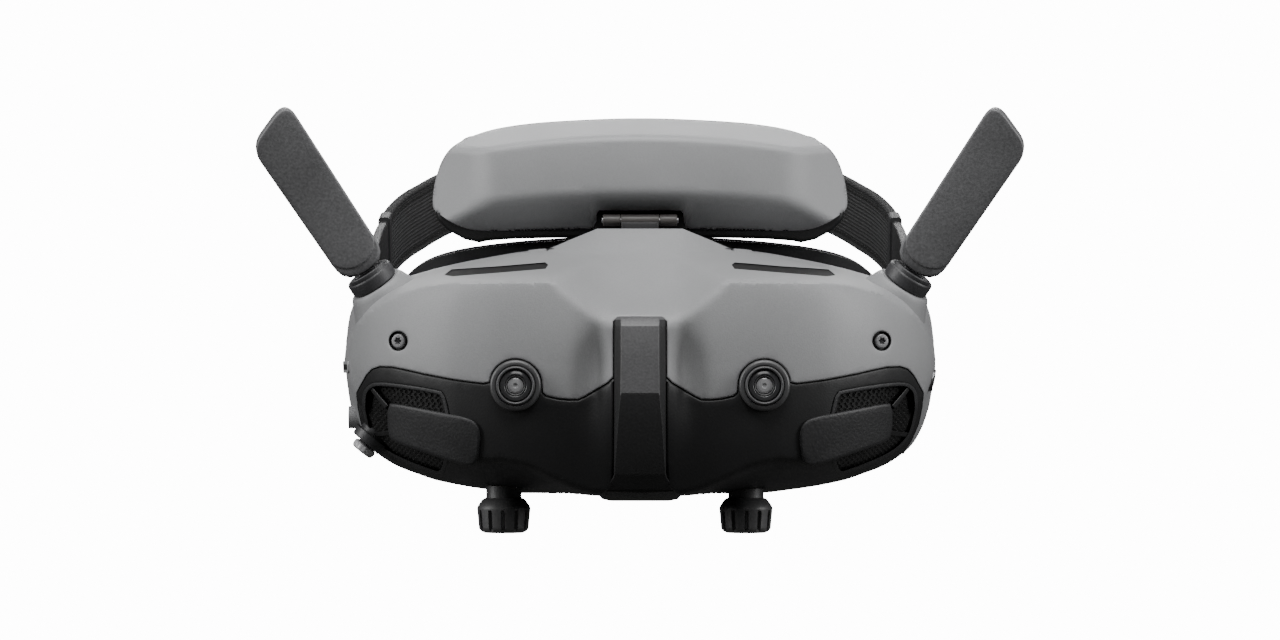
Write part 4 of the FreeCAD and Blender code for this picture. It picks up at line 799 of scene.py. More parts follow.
shrunk = inset(ccw(resample([(x * 0.985, z * 0.985 + 0.0) for x, z in sil_all], 1.2)), 0.3)
vent_void = [chaikin(inset(ccw(VENT_L), -0.4), 0), chaikin(inset(ccw(VENT_R), -0.4), 0)]
liner = skin("liner_skin", shrunk, vent_void + [circle_loop(s_ * CAM_X, CAM_Z, 4.9, 30) for s_ in (-1, 1)], "inner", "housing", (), func=liner_depth, edge=0.2, wall=1.0, gap=0.0, clear=0.8, grid=grid_points(2.0, 1.8), step=1.4)

# deck behind the ridge and the ridge's back wall
vs, fs = [], []
xs_ = np.linspace(-25.0, 25.0, 40)
ys_ = np.linspace(-49.5, -REAR, 8)
for y in ys_:
    for x in xs_:
        vs.append((x, y, float(interp(abs(x), XT, ZTOP)) - 0.02))
nx = len(xs_)
for j in range(len(ys_) - 1):
    for i in range(nx - 1):
        fs.append((j * nx + i, j * nx + i + 1, (j + 1) * nx + i + 1, (j + 1) * nx + i))
deck = mk("deck_behind_ridge", vs, fs, "grey", "housing")
vs, fs = [], []
xw = np.linspace(-24.6, 24.6, 60)
for x in xw:
    vs.append((x, -48.62, float(interp(abs(x), XT, ZTOP)) - 0.6))
for x in xw:
    vs.append((x, -48.62, float(ridge_top(np.array(abs(x))))))
for i in range(len(xw) - 1):
    fs.append((i, i + 1, len(xw) + i + 1, len(xw) + i))
bw = mk("ridge_back_wall", vs, fs, "grey", "housing")

# ------------------------------------------------------------------ more helpers
def apply_mods(ob):
    deps = bpy.context.evaluated_depsgraph_get()
    me = bpy.data.meshes.new_from_object(ob.evaluated_get(deps))
    ob.modifiers.clear()
    old = ob.data
    ob.data = me
    bpy.data.meshes.remove(old)
    return ob


def bevel(ob, width=0.4, segs=3, angle=28.0):
    md = ob.modifiers.new("bevel", "BEVEL")
    md.width = width * MM
    md.segments = segs
    md.limit_method = "ANGLE"
    md.angle_limit = math.radians(angle)
    md.harden_normals = False
    apply_mods(ob)
    sharpen(ob.data, 40)
    return ob


def plate(name, loop, y0, y1, mat, body, mtx=None, bev=0.5, segs=3, shape=None, step=1.2, taper=0.0):
    """A slab: the loop in the local XZ plane, from y0 to y1, with rolled edges. shape(x, y, z) may bend it."""
    loop = ccw(resample(loop, step))
    n = len(loop)
    lv = []
    for k in range(segs + 1):
        a = math.pi / 2 * k / segs
        lv.append((bev * (1 - math.sin(a)), bev * (1 - math.cos(a))))
    # rows run from the y0 face round to the y1 face: (inset, y)
    rows = [(off, y0 + dep) for off, dep in lv] + [(off + taper, y1 - dep) for off, dep in reversed(lv)]
    verts = []
    for off, y in rows:
        q = inset(loop, off) if off > 1e-6 else loop
        for x, z in q:
            verts.append((x, y, z))
    faces = []
    for r_ in range(len(rows) - 1):
        for i in range(n):
            j = (i + 1) % n
            faces.append((r_ * n + i, r_ * n + j, (r_ + 1) * n + j, (r_ + 1) * n + i))

    def cap(r_, y):
        base = [(verts[r_ * n + i][0], verts[r_ * n + i][2]) for i in range(n)]
        a = np.array(base)
        lo, hi = a.min(0), a.max(0)
        gx, gz = np.meshgrid(np.arange(lo[0], hi[0], step * 1.4), np.arange(lo[1], hi[1], step * 1.4))
        g = np.stack([gx.ravel(), gz.ravel()], 1)
        keep = inside(base, g[:, 0], g[:, 1]) & (dist_to(base, g[:, 0], g[:, 1]) > step * 0.6)
        co = base + [tuple(p) for p in g[keep]]
        vs, es, fs_, ov, oe, of = delaunay_2d_cdt([Vector(c) for c in co], [(i, (i + 1) % n) for i in range(n)], [], 1, 1e-6)
        idx = []
        for i, v in enumerate(vs):
            src = ov[i][0] if ov[i] else None
            if src is not None and src < n:
                idx.append(r_ * n + src)
            else:
                verts.append((v[0], y, v[1]))
                idx.append(len(verts) - 1)
        for f in fs_:
            faces.append(tuple(idx[k] for k in f))
    cap(0, rows[0][1])
    cap(len(rows) - 1, rows[-1][1])
    out = []
    for x, y, z in verts:
        if shape:
            x, y, z = shape(x, y, z)
        out.append((mtx @ Vector((x, y, z))) if mtx else (x, y, z))
    return mk(name, out, faces, mat, body, 34)


def sweep(name, path, section, mat, body, up=(0, 0, 1), closed=True, caps=True, angle=34, uv=False, ups=None):
    """A section of (across, through) points carried along a path in millimetres."""
    P_ = [Vector(p) for p in path]
    n, s = len(P_), len(section(0.0) if callable(section) else section)
    verts, faces, dist = [], [], [0.0]
    for i, p in enumerate(P_):
        t = (P_[min(n - 1, i + 1)] - P_[max(0, i - 1)]).normalized()
        u_ = Vector(ups[i]) if ups else Vector(up)
        u_ = (u_ - t * u_.dot(t)).normalized()
        w = t.cross(u_)
        if i:
            dist.append(dist[-1] + (p - P_[i - 1]).length)
        sec = section(i / (n - 1)) if callable(section) else section
        for a, b in sec:
            verts.append(p + u_ * a + w * b)
    if callable(section):
        s = len(section(0.0))
    for i in range(n - 1):
        for k in range(s if closed else s - 1):
            j = (k + 1) % s
            faces.append((i * s + k, i * s + j, (i + 1) * s + j, (i + 1) * s + k))
    if caps:
        faces.append(tuple(range(s)))
        faces.append(tuple((n - 1) * s + k for k in range(s)))
    ob = mk(name, verts, faces, mat, body, angle)
    if uv:
        lay = ob.data.uv_layers.new(name="along")
        sec0 = section(0.5) if callable(section) else section
        for poly in ob.data.polygons:
            for li in poly.loop_indices:
                vi = ob.data.loops[li].vertex_index
                i, k = divmod(vi, s)
                i = min(i, n - 1)
                lay.data[li].uv = (dist[i] * MM, sec0[k][0] * MM)
    return ob


def box_loop(x0, x1, z0, z1, r=1.0, n=4):
    pts = []
    for cx, cz, a0 in ((x1 - r, z1 - r, 0), (x0 + r, z1 - r, 90), (x0 + r, z0 + r, 180), (x1 - r, z0 + r, 270)):
        for k in range(n + 1):
            a = math.radians(a0 + 90 * k / n)
            pts.append((cx + r * math.cos(a), cz + r * math.sin(a)))
    return pts


FRONT = lambda x, z: frame_from((x, 0, z), (0, -1, 0), (1, 0, 0))
BACK = lambda x, z: frame_from((x, 0, z), (0, 1, 0), (1, 0, 0))

# ------------------------------------------------------------------ nose strip
rows = [  # z, outer half width, outer y, inner half width, inner y
    (14.95, 5.5, -96.0, 4.6, -97.4), (14.7, 6.1, -97.0, 4.9, -98.9), (14.0, 6.55, -97.4, 4.95, -100.0), (12.5, 6.6, -97.8, 4.85, -101.6), (4.0, 6.6, -98.6, 4.85, -102.3),
    (-4.6, 6.6, -98.6, 4.95, -102.9), (-5.2, 6.6, -98.6, 4.98, -102.9), (-12.0, 6.6, -97.8, 5.6, -101.5), (-19.0, 6.7, -96.4, 6.1, -99.6), (-25.6, 6.8, -93.8, 6.5, -97.2), (-26.6, 7.2, -93.0, 6.8, -96.4),
    (-29.6, 9.6, -88.6, 9.0, -92.0), (-31.4, 10.8, -82.0, 10.2, -86.0), (-32.7, 9.9, -76.0, 9.0, -80.0), (-33.35, 8.2, -69.0, 7.4, -72.0), (-33.45, 7.8, -58.0, 7.2, -60.0)]
vs, fs = [], []
for z, xo, yo, xi, yi in rows:
    vs += [(-xo, yo + 3.5, z), (-xo, yo, z), (-xi, yi, z), (xi, yi, z), (xo, yo, z), (xo, yo + 3.5, z)]
for i in range(len(rows) - 1):
    for k in range(5):
        fs.append((i * 6 + k, i * 6 + k + 1, (i + 1) * 6 + k + 1, (i + 1) * 6 + k))
fs.append((0, 1, 2, 3, 4, 5))
strip = bevel(mk("nose_strip_cover", vs, fs, "strip", "housing"), 0.5, 3, 12)
# painted shade: faces below the bend and the side faces take the darker copy of the strip colour
strip.data.materials.append(M["strip_painted_shade"])
for pol in strip.data.polygons:
    c_ = pol.center
    if c_.z < -4.9 * MM or (abs(c_.x) > 5.0 * MM and c_.z < 14.2 * MM):
        pol.material_index = 1
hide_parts("nose_strip")

# ------------------------------------------------------------------ cameras
for sgn, side in ((1, "left"), (-1, "right")):
    m_ = FRONT(sgn * CAM_X, CAM_Z)
    a = lathe("camera_surround_" + side, [(6.58, 90.0), (6.58, 98.4), (6.1, 98.95), (5.25, 98.95), (5.08, 98.6), (5.05, 96.0)], m_, "surround", "housing", 72, 0.35)
    b = lathe("camera_ring_" + side, [(5.0, 96.0), (5.0, 99.8), (4.75, 100.4), (4.45, 100.4), (4.25, 100.05), (4.22, 97.0)], m_, "surround", "housing", 72, 0.18)
    c = lathe("camera_cover_" + side, [(4.02, 97.5), (4.02, 99.35), (3.8, 99.6), (2.95, 99.78), (2.80, 99.7), (2.76, 99.4), (2.74, 98.4)], m_, "glass", "housing", 72, 0.12)
    d = lathe("camera_lens_ring_" + side, [(2.72, 98.4), (2.68, 99.35), (2.5, 99.5), (2.32, 99.42), (2.2, 99.0), (2.16, 98.4)], m_, "surround", "housing", 48, 0.06)
    e = lathe("camera_iris_" + side, [(2.14, 98.4), (2.08, 99.0), (1.55, 99.22), (0.8, 99.32), (0.62, 99.30), (0.52, 99.0), (0.0, 98.96)], m_, "iris", "housing", 40, 0.05)
    if sgn > 0:
        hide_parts("camera_bezels")
        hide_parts("camera_glasses")
        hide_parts("camera_modules")

# ------------------------------------------------------------------ six-lobe screws in the front
for sgn, side in ((1, "left"), (-1, "right")):
    sx, sz = abs(SCREW[0]), SCREW[1]
    d0_ = float(depth(sx, sz))
    gx = (float(depth(sx + 0.5, sz)) - float(depth(sx - 0.5, sz)))
    gz = (float(depth(sx, sz + 0.5)) - float(depth(sx, sz - 0.5)))
    nrm = Vector((-gx * sgn, -1.0, -gz)).normalized()
    nrm = Vector((nrm.x * 0.5, -1, nrm.z * 0.5)).normalized()
    m_ = frame_from((sgn * sx, -(d0_ - 0.75), sz), nrm)
    lobes = lambda rr, h, a: rr * (1 + (0.17 * math.cos(6 * a) if rr < 1.0 else 0.0))
    s_ = lathe("front_screw_" + side, [(1.85, -2.0), (1.85, 0.15), (1.6, 0.42), (0.92, 0.46), (0.86, 0.38), (0.8, -0.8), (0.0, -0.9)], m_, "screw", "housing", 72, 0.07, mod=lobes)
    if sgn > 0:
        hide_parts("front_screws")

# ------------------------------------------------------------------ vents
mesh_first = None
for sgn, side in ((1, "left"), (-1, "right")):
    vt = VENT_TOP_R if sgn > 0 else VENT_TOP
    vl = VENT_R if sgn > 0 else VENT_L
    t_ = skin("top_vent_mesh_" + side, inset(ccw(vt), -1.0), [], "mesh", "housing", (), func=lambda x, z: depth(x, z) - 5.5, edge=0.1, wall=0.4, gap=0, clear=0.4)
    s_ = skin("side_vent_mesh_" + side, inset(ccw(vl), -0.7), [], "mesh", "housing", (), func=lambda x, z: depth(x, z) - 3.4, edge=0.1, wall=0.4, gap=0, clear=0.5, grid=grid_points(1.6, 1.6))
    if sgn > 0:
        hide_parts("vent_meshes")

PLATE_L = [(-65.85, -7.79), (-63.08, -7.79), (-56.67, -8.90), (-49.15, -10.18), (-45.00, -11.00), (-42.49, -11.97), (-41.10, -14.21), (-40.97, -17.54), (-41.67, -22.54), (-43.87, -23.79), (-46.38, -23.38), (-51.95, -21.72), (-58.72, -19.59), (-64.18, -17.82), (-65.85, -16.15)]
PLATE_L = chaikin(PLATE_L, 1)
SPOKES = [((-70.92, -4.00), (-70.10, -3.44), (-65.64, -8.31), (-66.67, -9.23)), ((-71.69, -17.18), (-72.05, -16.05), (-65.54, -14.87), (-65.38, -16.10)), ((-72.82, -9.59), (-72.77, -8.72), (-65.38, -9.85), (-65.38, -10.77))]
def plate_depth(x, z):
    z = np.asarray(z, float)
    return np.maximum(depth(x, z) + 0.9, depth(x, np.maximum(z, -12.0)) + 0.9 - 0.32 * np.clip(-12.0 - z, 0, None))


first = True
for sgn, side in ((1, "left"), (-1, "right")):
    pl_ = PLATE_L if sgn < 0 else [(-x, z) for x, z in reversed(PLATE_L)]
    o = skin("louvre_plate_" + side, pl_, [], "plate", "housing", (), func=plate_depth, edge=0.85, wall=6.5, gap=0.0, clear=0.5, extra=dense(pl_, 0.8, (1.2, 2.0)))
    if first:
        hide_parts("intake_louvres")
        first = False
    for i, q in enumerate(SPOKES[:2]):
        lp = list(q)
        if sgn > 0:
            lp = [(-x, z) for x, z in reversed(lp)]
        sp = skin("louvre_spoke_%s_%d" % (side, i), lp, [], "black", "housing", (), func=lambda x, z: depth(x, z) - 0.5, edge=0.3, wall=2.4, gap=0.0, clear=0.3, step=0.6)
    # rim that frames the intake, a hair proud of the cover
    rim_o = ccw(VENT_R if sgn > 0 else VENT_L)
    rm = skin("intake_rim_" + side, inset(rim_o, -0.25), [inset(rim_o, 0.75)], "plate", "housing", (), func=lambda x, z: depth(x, z) + 0.35, edge=0.3, wall=2.6, gap=0.0, clear=0.3, step=0.7)

# ------------------------------------------------------------------ antennas
def ant_axes(sign):
    a, b = math.radians(33.0), math.radians(15.0)
    c = Vector((sign * math.sin(a) * math.cos(b), -math.sin(b), math.cos(a) * math.cos(b)))
    w = Vector((math.cos(a), 0, -sign * math.sin(a)))
    base = Vector((sign * 69.9, -58.0, 23.4))
    return base, c, w


for sgn, side in ((1, "left"), (-1, "right")):
    base, c, w = ant_axes(sgn)
    mt = frame_from(base, c, w)                    # local X across, Y to the back, Z along the antenna
    fl = lathe("antenna_boss_" + side, [(13.2, -11.0), (11.2, -8.0), (9.7, -5.0), (8.6, -2.6), (7.9, -1.0), (7.35, -0.15), (6.9, 0.02), (5.0, 0.02)], mt, "grey", "housing", 72, 0.5)
    co = lathe("antenna_ring_" + side, [(3.4, -6.0), (3.4, 0.12), (6.15, 0.14), (6.42, 0.5), (6.44, 2.0), (6.40, 3.3), (6.1, 3.75), (5.2, 3.8), (4.4, 3.5), (0, 3.5)], mt, "case", "antenna_base_" + side, 72, 0.14)
    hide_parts("antenna_collar_" + side)
    arc = [mt @ Vector((5.62 * math.sin(math.radians(a_)), -5.62 * math.cos(math.radians(a_)), 4.15)) for a_ in range(-58, 59, 4)]
    lip = sweep("antenna_lip_" + side, arc, [(p_, q_) for p_, q_ in box_loop(-0.75, 0.75, -0.5, 0.5, 0.3, 3)], "case", "antenna_base_" + side, up=tuple(c), angle=50)
    # the bracket stands behind the paddle and reaches forward to the pin, so the foot can swing under it
    tongue = plate("antenna_tongue_" + side, box_loop(-2.3, 2.3, 3.4, 9.3, 0.5), 3.5, 4.9, "case", "antenna_base_" + side, mt, 0.35)
    reach = plate("antenna_reach_" + side, box_loop(-2.25, 2.25, 7.15, 9.25, 0.4), 0.0, 4.8, "case", "antenna_base_" + side, mt, 0.3)
    knuckle = lathe("antenna_knuckle_" + side, [(0, -2.3), (1.4, -2.3), (1.4, 2.3), (0, 2.3)], mt @ frame_from((0, 0, 8.2), (1, 0, 0), (0, 1, 0)), "case", "antenna_base_" + side, 40, 0.15)
    pin = lathe("antenna_pin_" + side, [(0, -5.1), (0.9, -5.1), (0.9, 5.1), (0, 5.1)], mt @ frame_from((0, 0, 8.2), (1, 0, 0), (0, 1, 0)), "steel", "antenna_base_" + side, 32, 0.15)
    L_, wt, wb = 54.9, 7.35, 6.7
    out = []
    for k in range(0, 15):                         # U-shaped foot
        a = math.pi + math.pi * k / 14
        out.append((wb * math.cos(a), 12.4 + 5.2 * math.sin(a)))
    slant = 2 * wt * math.tan(math.radians(21))
    tl, tr = (L_, L_ - slant) if sgn > 0 else (L_ - slant, L_)
    tip = [(wt, tr), (-wt, tl)]
    # round the two tip corners
    poly = [(wb, 12.2)] + tip + [(-wb, 12.2)]
    rp = []
    for i in (1, 2):
        p, a, b = Vector(poly[i]), Vector(poly[i - 1]), Vector(poly[i + 1])
        cut_ = 5.6 if (p.x > 0) == (sgn < 0) else 4.6
        ra, rb = (a - p).normalized() * cut_, (b - p).normalized() * cut_
        for k in range(9):
            s = k / 8
            q = (p + ra) * (1 - s) ** 2 + p * 2 * s * (1 - s) + (p + rb) * s ** 2
            rp.append((q.x, q.y))
    ol = out + rp
    crown = lambda x, y, z: (x, y + (0.0 if y > 0 else 0.35 * (x / 6.9) ** 2), z)
    front = plate("antenna_cover_" + side, ol, -3.1, -2.05, "antenna", "antenna_" + side, mt, 0.6, 4, shape=crown)
    foot_l = []
    for k in range(0, 17):                         # rounded foot that stands out below the cover
        a = math.pi + math.pi * k / 16
        foot_l.append((wb * math.copysign(abs(math.cos(a)) ** 0.86, math.cos(a)), 11.2 + 6.3 * math.sin(a)))
    foot_l += [(wb, 20.0), (-wb, 20.0)]
    foot = plate("antenna_foot_" + side, foot_l, -2.6, -1.6, "antenna", "antenna_" + side, mt, 0.45, 4)
    # back half: outline with a slot for the tongue at its foot
    backl = [(-wb + 0.1, 9.0), (-wb + 0.7, 7.0), (-wb + 2.2, 5.4), (-2.7, 4.8), (-2.7, 11.6), (2.7, 11.6), (2.7, 4.8), (wb - 2.2, 5.4), (wb - 0.7, 7.0), (wb - 0.1, 9.0)] + [(x * 0.985, z - 0.1) for x, z in rp]
    back = plate("antenna_back_" + side, backl, -1.7, 2.6, "antenna", "antenna_" + side, mt, 0.9, 4)
    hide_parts("antenna_paddle_" + side)
    rib = plate("antenna_spine_" + side, box_loop(-2.2, 2.2, 16.0, 44.0, 2.0), 2.5, 3.0, "antenna", "antenna_" + side, mt, 0.25, 2)

# ------------------------------------------------------------------ brow pad
PADL = [(-4.20, 68.60), (-12.12, 68.36), (-23.97, 67.74), (-31.87, 67.01), (-39.78, 65.74), (-45.71, 63.78), (-49.64, 61.81), (-52.01, 59.82), (-53.98, 56.56), (-55.19, 52.71), (-55.97, 48.48), (-56.16, 45.60), (-55.78, 43.63), (-52.82, 41.26), (-47.68, 38.67), (-43.72, 37.89), (-37.98, 37.81), (-27.21, 38.08), (-16.05, 38.40)]
half = [(0.0, 68.6)] + [(-x, z) for x, z in PADL]
sm = chaikin(half + [(11.8, 38.4)], 2, closed=False)
NOTCH = [(11.6, 38.4), (11.6, 42.6), (10.9, 43.4)]
pad_loop = sm[:-1] + NOTCH + [(-x, z) for x, z in reversed(NOTCH)] + [(-x, z) for x, z in reversed(sm[:-1]) if x > 1e-6]
full_sil = sm + [(-x, z) for x, z in reversed(sm) if x > 1e-6]


def pad_depth(x, z):
    x, z = np.asarray(x, float), np.asarray(z, float)
    ax = np.abs(x)
    plan = ax ** 2 / 270.0
    front = 48.0 - plan - 0.0055 * (z - 52.0) ** 2
    zc = 63.9 - 0.0018 * ax ** 2
    top = 44.6 - plan - (z - zc) * 2.5
    zl = 46.8 - 0.0012 * ax ** 2
    low = 47.4 - plan - (zl - z) * 1.65
    sidew = 48.0 - 40.0 ** 2 / 270.0 - (ax - 40.0) * 1.0 + 1.2
    d = smin(smin(front, top, 2.4), low, 3.2)
    d = smin(d, sidew, 3.0)
    e = np.clip(dist_to(full_sil, x, z) / 6.5, 0, 1)
    edge_ = 27.0 + 24.0 * np.sqrt(np.clip(1 - (1 - e) ** 2, 0, 1))
    d = smin(d, edge_, 2.0)
    # bevelled eyebrow over the hinge recess
    rec = 1.0 / (1.0 + np.exp((ax - 11.9) * 2.2)) / (1.0 + np.exp((z - 45.6) * 2.4))
    return np.maximum(d - 3.0 * rec, 24.0)


def pad_free(x, z):
    return not (abs(x) < 11.7 and z < 43.6)


gx, gz = [], []
padgrid = []
lim_ = ccw(resample(full_sil, 1.0))
for off in (0.25, 0.6, 1.1, 1.8, 2.7, 3.8, 5.0, 6.3):
    padgrid += inset(lim_, off)
gg = [(x, z) for x in np.arange(-50, 50.1, 1.3) for z in np.arange(38, 68, 1.1) if abs(z - (63.9 - 0.0018 * x * x)) > 2.6 and abs(z - (46.8 - 0.0012 * x * x)) > 2.5]
arr = np.array(gg)
kk = inside(lim_, arr[:, 0], arr[:, 1]) & (dist_to(lim_, arr[:, 0], arr[:, 1]) > 6.6)
padgrid += [tuple(p) for p in arr[kk]]
skirt_old = skirt_y


def skirt_y(x, z):
    return -25.0


for x in np.arange(-49, 49.1, 0.9):
    for zc_, spread in ((63.9 - 0.0018 * x * x, (-2.4, -1.7, -1.1, -0.6, -0.2, 0.2, 0.6, 1.1, 1.7, 2.4)), (46.8 - 0.0012 * x * x, (-2.2, -1.2, -0.4, 0.4, 1.2, 2.2))):
        for dz in spread:
            if inside(lim_, [x], [zc_ + dz])[0]:
                padgrid.append((float(x), float(zc_ + dz)))
pad = skin("brow_pad_shell", pad_loop, [], "padgrey", "brow_pad", pad_free, func=pad_depth, edge=0.5, wall=7.0, gap=0.05, clear=0.2, grid=padgrid, angle=50, step=0.7)
skirt_y = skirt_old
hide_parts("pad_shell")
LIP = [(0, 66.6), (20, 66.2), (34, 65.0), (43, 62.8), (49, 59.6), (52.6, 54.0), (54.4, 47.0), (55.2, 43.0), (54.8, 41.2), (52.0, 38.3), (47.4, 35.8), (43.4, 34.9), (41.2, 35.4), (34, 35.9), (20, 36.2), (12.4, 36.3), (11.9, 39.0), (11.0, 43.9)]
lipl = LIP + [(-x, z) for x, z in reversed(LIP) if x > 1e-6]
base_ = plate("brow_pad_base", lipl, -31.6, -16.6, "black", "brow_pad", None, 1.3, 4, step=1.5, shape=lambda x, y, z: (x, y + (x * x) / 900.0, z + (max(0.0, y + 25.0) * 0.24 * min(1.0, max(0.0, (41.0 - z) / 3.0)))))
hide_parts("pad_base")

# hinge: two outer knuckles on the pad, the middle one on the housing
def tube(name, x0, x1, r, y, z, mat, body, rep=None):
    o = lathe(name, [(0, x0), (r, x0), (r, x1), (0, x1)], frame_from((0, y, z), (1, 0, 0), (0, 1, 0)), mat, body, 40, 0.2)
    if rep:
        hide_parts(rep)
    return o


HY, HZ = -42.0, 40.7
tube("hinge_knuckle_right", -9.9, -5.25, 1.55, HY, HZ, "hinge", "brow_pad", "pad_hinge_leaf")
tube("hinge_knuckle_left", 5.25, 9.9, 1.55, HY, HZ, "hinge", "brow_pad")
tube("hinge_knuckle_middle", -5.1, 5.1, 1.55, HY, HZ, "hinge", "housing", "pad_hinge_bracket")
tube("hinge_pin_cover", -10.3, 10.3, 0.8, HY, HZ, "steel", "brow_pad", "pad_hinge_pin")
for i, (xa, xb) in enumerate(((-9.9, -5.25), (5.25, 9.9))):
    lf = plate("hinge_leaf_%d" % i, box_loop(xa, xb, HZ - 0.7, HZ + 1.1, 0.4), HY, HY + 8.5, "arm", "brow_pad", None, 0.2, 2)
br = plate("hinge_arm", [(-5.0, 33.6), (5.0, 33.6), (5.0, 40.2), (-5.0, 40.2)], -45.8, -43.0, "arm", "housing", None, 0.5, 3)
bf = plate("hinge_foot", box_loop(-9.8, 9.8, 33.4, 37.6, 0.8), -48.4, -45.0, "arm", "housing", None, 0.5, 3)
rb = plate("hinge_recess_back", box_loop(-12.2, 12.2, 35.0, 46.5, 0.8), -34.6, -33.2, "inner", "brow_pad", None, 0.4, 2)

# ------------------------------------------------------------------ rear housing: side walls and the wall behind the eyepieces
body_right = [(float(x), float(interp(x, XT, ZTOP))) for x in np.concatenate([np.linspace(0, 74, 64), np.linspace(74.6, 78.2, 10), np.linspace(78.5, 79.35, 8)])]
body_right += [(float(x), float(interp(x, XB, ZBOT))) for x in np.concatenate([np.linspace(79.35, 77.7, 10), np.linspace(77.0, 69.5, 14), np.linspace(68.4, 0, 60)])]
body_all = body_right + [(-x, z) for x, z in reversed(body_right) if x > 1e-6]


def flip_y(ob, y0):
    """Mirrors a piece in the plane across Y, so a front-facing panel becomes a rear-facing one."""
    for v in ob.data.vertices:
        v.co.y = y0 * MM - v.co.y
    ob.data.flip_normals()
    bm = bmesh.new()
    bm.from_mesh(ob.data)
    bmesh.ops.recalc_face_normals(bm, faces=bm.faces)
    bm.to_mesh(ob.data)
    bm.free()
    sharpen(ob.data, 40)
    return ob


def obround(x0, x1, z, r, n=18):
    pts = [(x1 + r * math.cos(a), z + r * math.sin(a)) for a in np.linspace(-math.pi / 2, math.pi / 2, n)]
    return pts + [(x0 + r * math.cos(a), z + r * math.sin(a)) for a in np.linspace(math.pi / 2, 3 * math.pi / 2, n)]


flat = lambda x, z: np.zeros(np.shape(x))
EYES = [obround(28.0, 36.0, 0.0, 16.9), obround(-36.0, -28.0, 0.0, 16.9)]
rear_grid = [(x, z) for x in np.arange(-78, 78.1, 3.0) for z in np.arange(-33, 34, 3.0)]
rear = skin("rear_housing_skin", body_all, EYES, "black", "housing", (), func=flat, edge=3.0, wall=9.9, gap=0.12, clear=1.0, grid=rear_grid, step=1.3, hole_wall=4.0)
flip_y(rear, -24.0)
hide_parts("rear_housing")


def yz_frame(x):
    """Local X runs along +Y, local Y along +X, local Z up."""
    m_ = Matrix(((0, 1, 0, x), (1, 0, 0, 0), (0, 0, 1, 0), (0, 0, 0, 1)))
    return m_


for sgn, side in ((1, "left"), (-1, "right")):
    lp = [(-36.0, 14.4), (-16.0, 14.9)] + [(-16.0 + 6.1 * math.cos(a), 21.0 + 6.1 * math.sin(a)) for a in np.linspace(-math.pi / 2 + 0.05, math.pi / 2 - 0.05, 16)] + [(-16.0, 27.1), (-36.0, 27.6)]
    lug = plate("band_lug_" + side, lp, -1.5, 1.5, "black", "housing", yz_frame(sgn * 69.8), 0.5, 3, step=1.4)
    cap_ = lathe("pivot_cap_" + side, [(0, 1.5), (1.1, 1.5), (1.5, 1.2), (1.9, 1.45), (3.3, 1.4), (3.6, 1.1), (3.6, 0.2), (2.1, 0.0), (2.0, -7.5), (0, -7.5)], frame_from((sgn * 75.9, -16, 21), (sgn, 0, 0), (0, 0, 1)), "steel", "housing", 48, 0.2)
    if sgn > 0:
        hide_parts("band_pivot_pins")

# ------------------------------------------------------------------ face cup
FACE_O = [(0, 36.4), (12, 36.2), (24, 35.7), (38, 34.6), (50, 33.0), (58.5, 30.6), (64.4, 26.4), (67.2, 20.0), (67.8, 12.0), (67.5, 0.0), (64.4, -13.0), (56.4, -23.0), (42, -28.0), (28, -28.6), (17, -24.0), (9.5, -13.5), (0, -8.5)]
FACE_I = [(0, 32.4), (12, 32.2), (24, 31.6), (37, 30.4), (48, 28.8), (55, 26.4), (60.0, 22.4), (62.8, 17.0), (63.6, 10.0), (63.2, 0.0), (60.2, -11.0), (52.4, -19.4), (41, -23.6), (29.5, -24.0), (20.5, -19.6), (12.5, -9.5), (0, -3.5)]


def loop_of(pts, n=180):
    full = pts + [(-x, z) for x, z in reversed(pts) if x > 1e-6]
    sm_ = chaikin(full, 3)
    # even spacing, same start for both loops
    seg = np.array(sm_)
    d = np.hypot(*(np.roll(seg, -1, 0) - seg).T)
    s = np.concatenate([[0], np.cumsum(d)])
    t = np.linspace(0, s[-1], n, endpoint=False)
    ext = np.vstack([seg, seg[:1]])
    return np.stack([np.interp(t, s, ext[:, 0]), np.interp(t, s, ext[:, 1])], 1)


def match(outer, inner):
    """For each outer point the inner point on the same ray from the ring's own middle line."""
    out = []
    for p in outer:
        k = np.argmin(np.hypot(*(inner - p).T))
        out.append(inner[k])
    out = np.array(out)
    for _ in range(6):
        out = (np.roll(out, 1, 0) + 2 * out + np.roll(out, -1, 0)) / 4
    return out


FO = loop_of(FACE_O)
FI = match(FO, loop_of(FACE_I))


def ring_solid(name, rows, mat, body, angle=40):
    """rows: list of (w, y or function of x, extra): w runs from the outer (0) to the inner loop (1)."""
    verts, faces = [], []
    n = len(FO)
    for w, yf in rows:
        for p, q in zip(FO, FI):
            x, z = p * (1 - w) + q * w
            verts.append((x, yf(x), z))
    R = len(rows)
    for r_ in range(R):
        s_ = (r_ + 1) % R
        for i in range(n):
            j = (i + 1) % n
            faces.append((r_ * n + i, r_ * n + j, s_ * n + j, s_ * n + i))
    return mk(name, verts, faces, mat, body, angle)


cup_y = lambda x, o=0.0: 97.0 - math.sqrt(105.0 ** 2 - x * x) + o
foam_y = lambda x, o=0.0: 98.0 - math.sqrt(98.0 ** 2 - x * x) + o
t_ = lambda f: (lambda x: -23.9 + (cup_y(x) + 23.9) * f)
cup = ring_solid("face_cup", [(0.12, lambda x: -23.9), (0.04, t_(0.25)), (0.0, t_(0.55)), (-0.02, t_(0.82)), (0.0, lambda x: cup_y(x, -0.9)), (0.10, lambda x: cup_y(x, -0.25)), (0.24, lambda x: cup_y(x, -0.05)),
                              (0.80, lambda x: cup_y(x, -0.05)), (0.93, lambda x: cup_y(x, -0.3)), (1.0, lambda x: cup_y(x, -1.0)), (1.0, t_(0.6)), (0.96, t_(0.3)), (0.9, lambda x: -23.9)], "rubber", "housing")
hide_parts("face_frame")


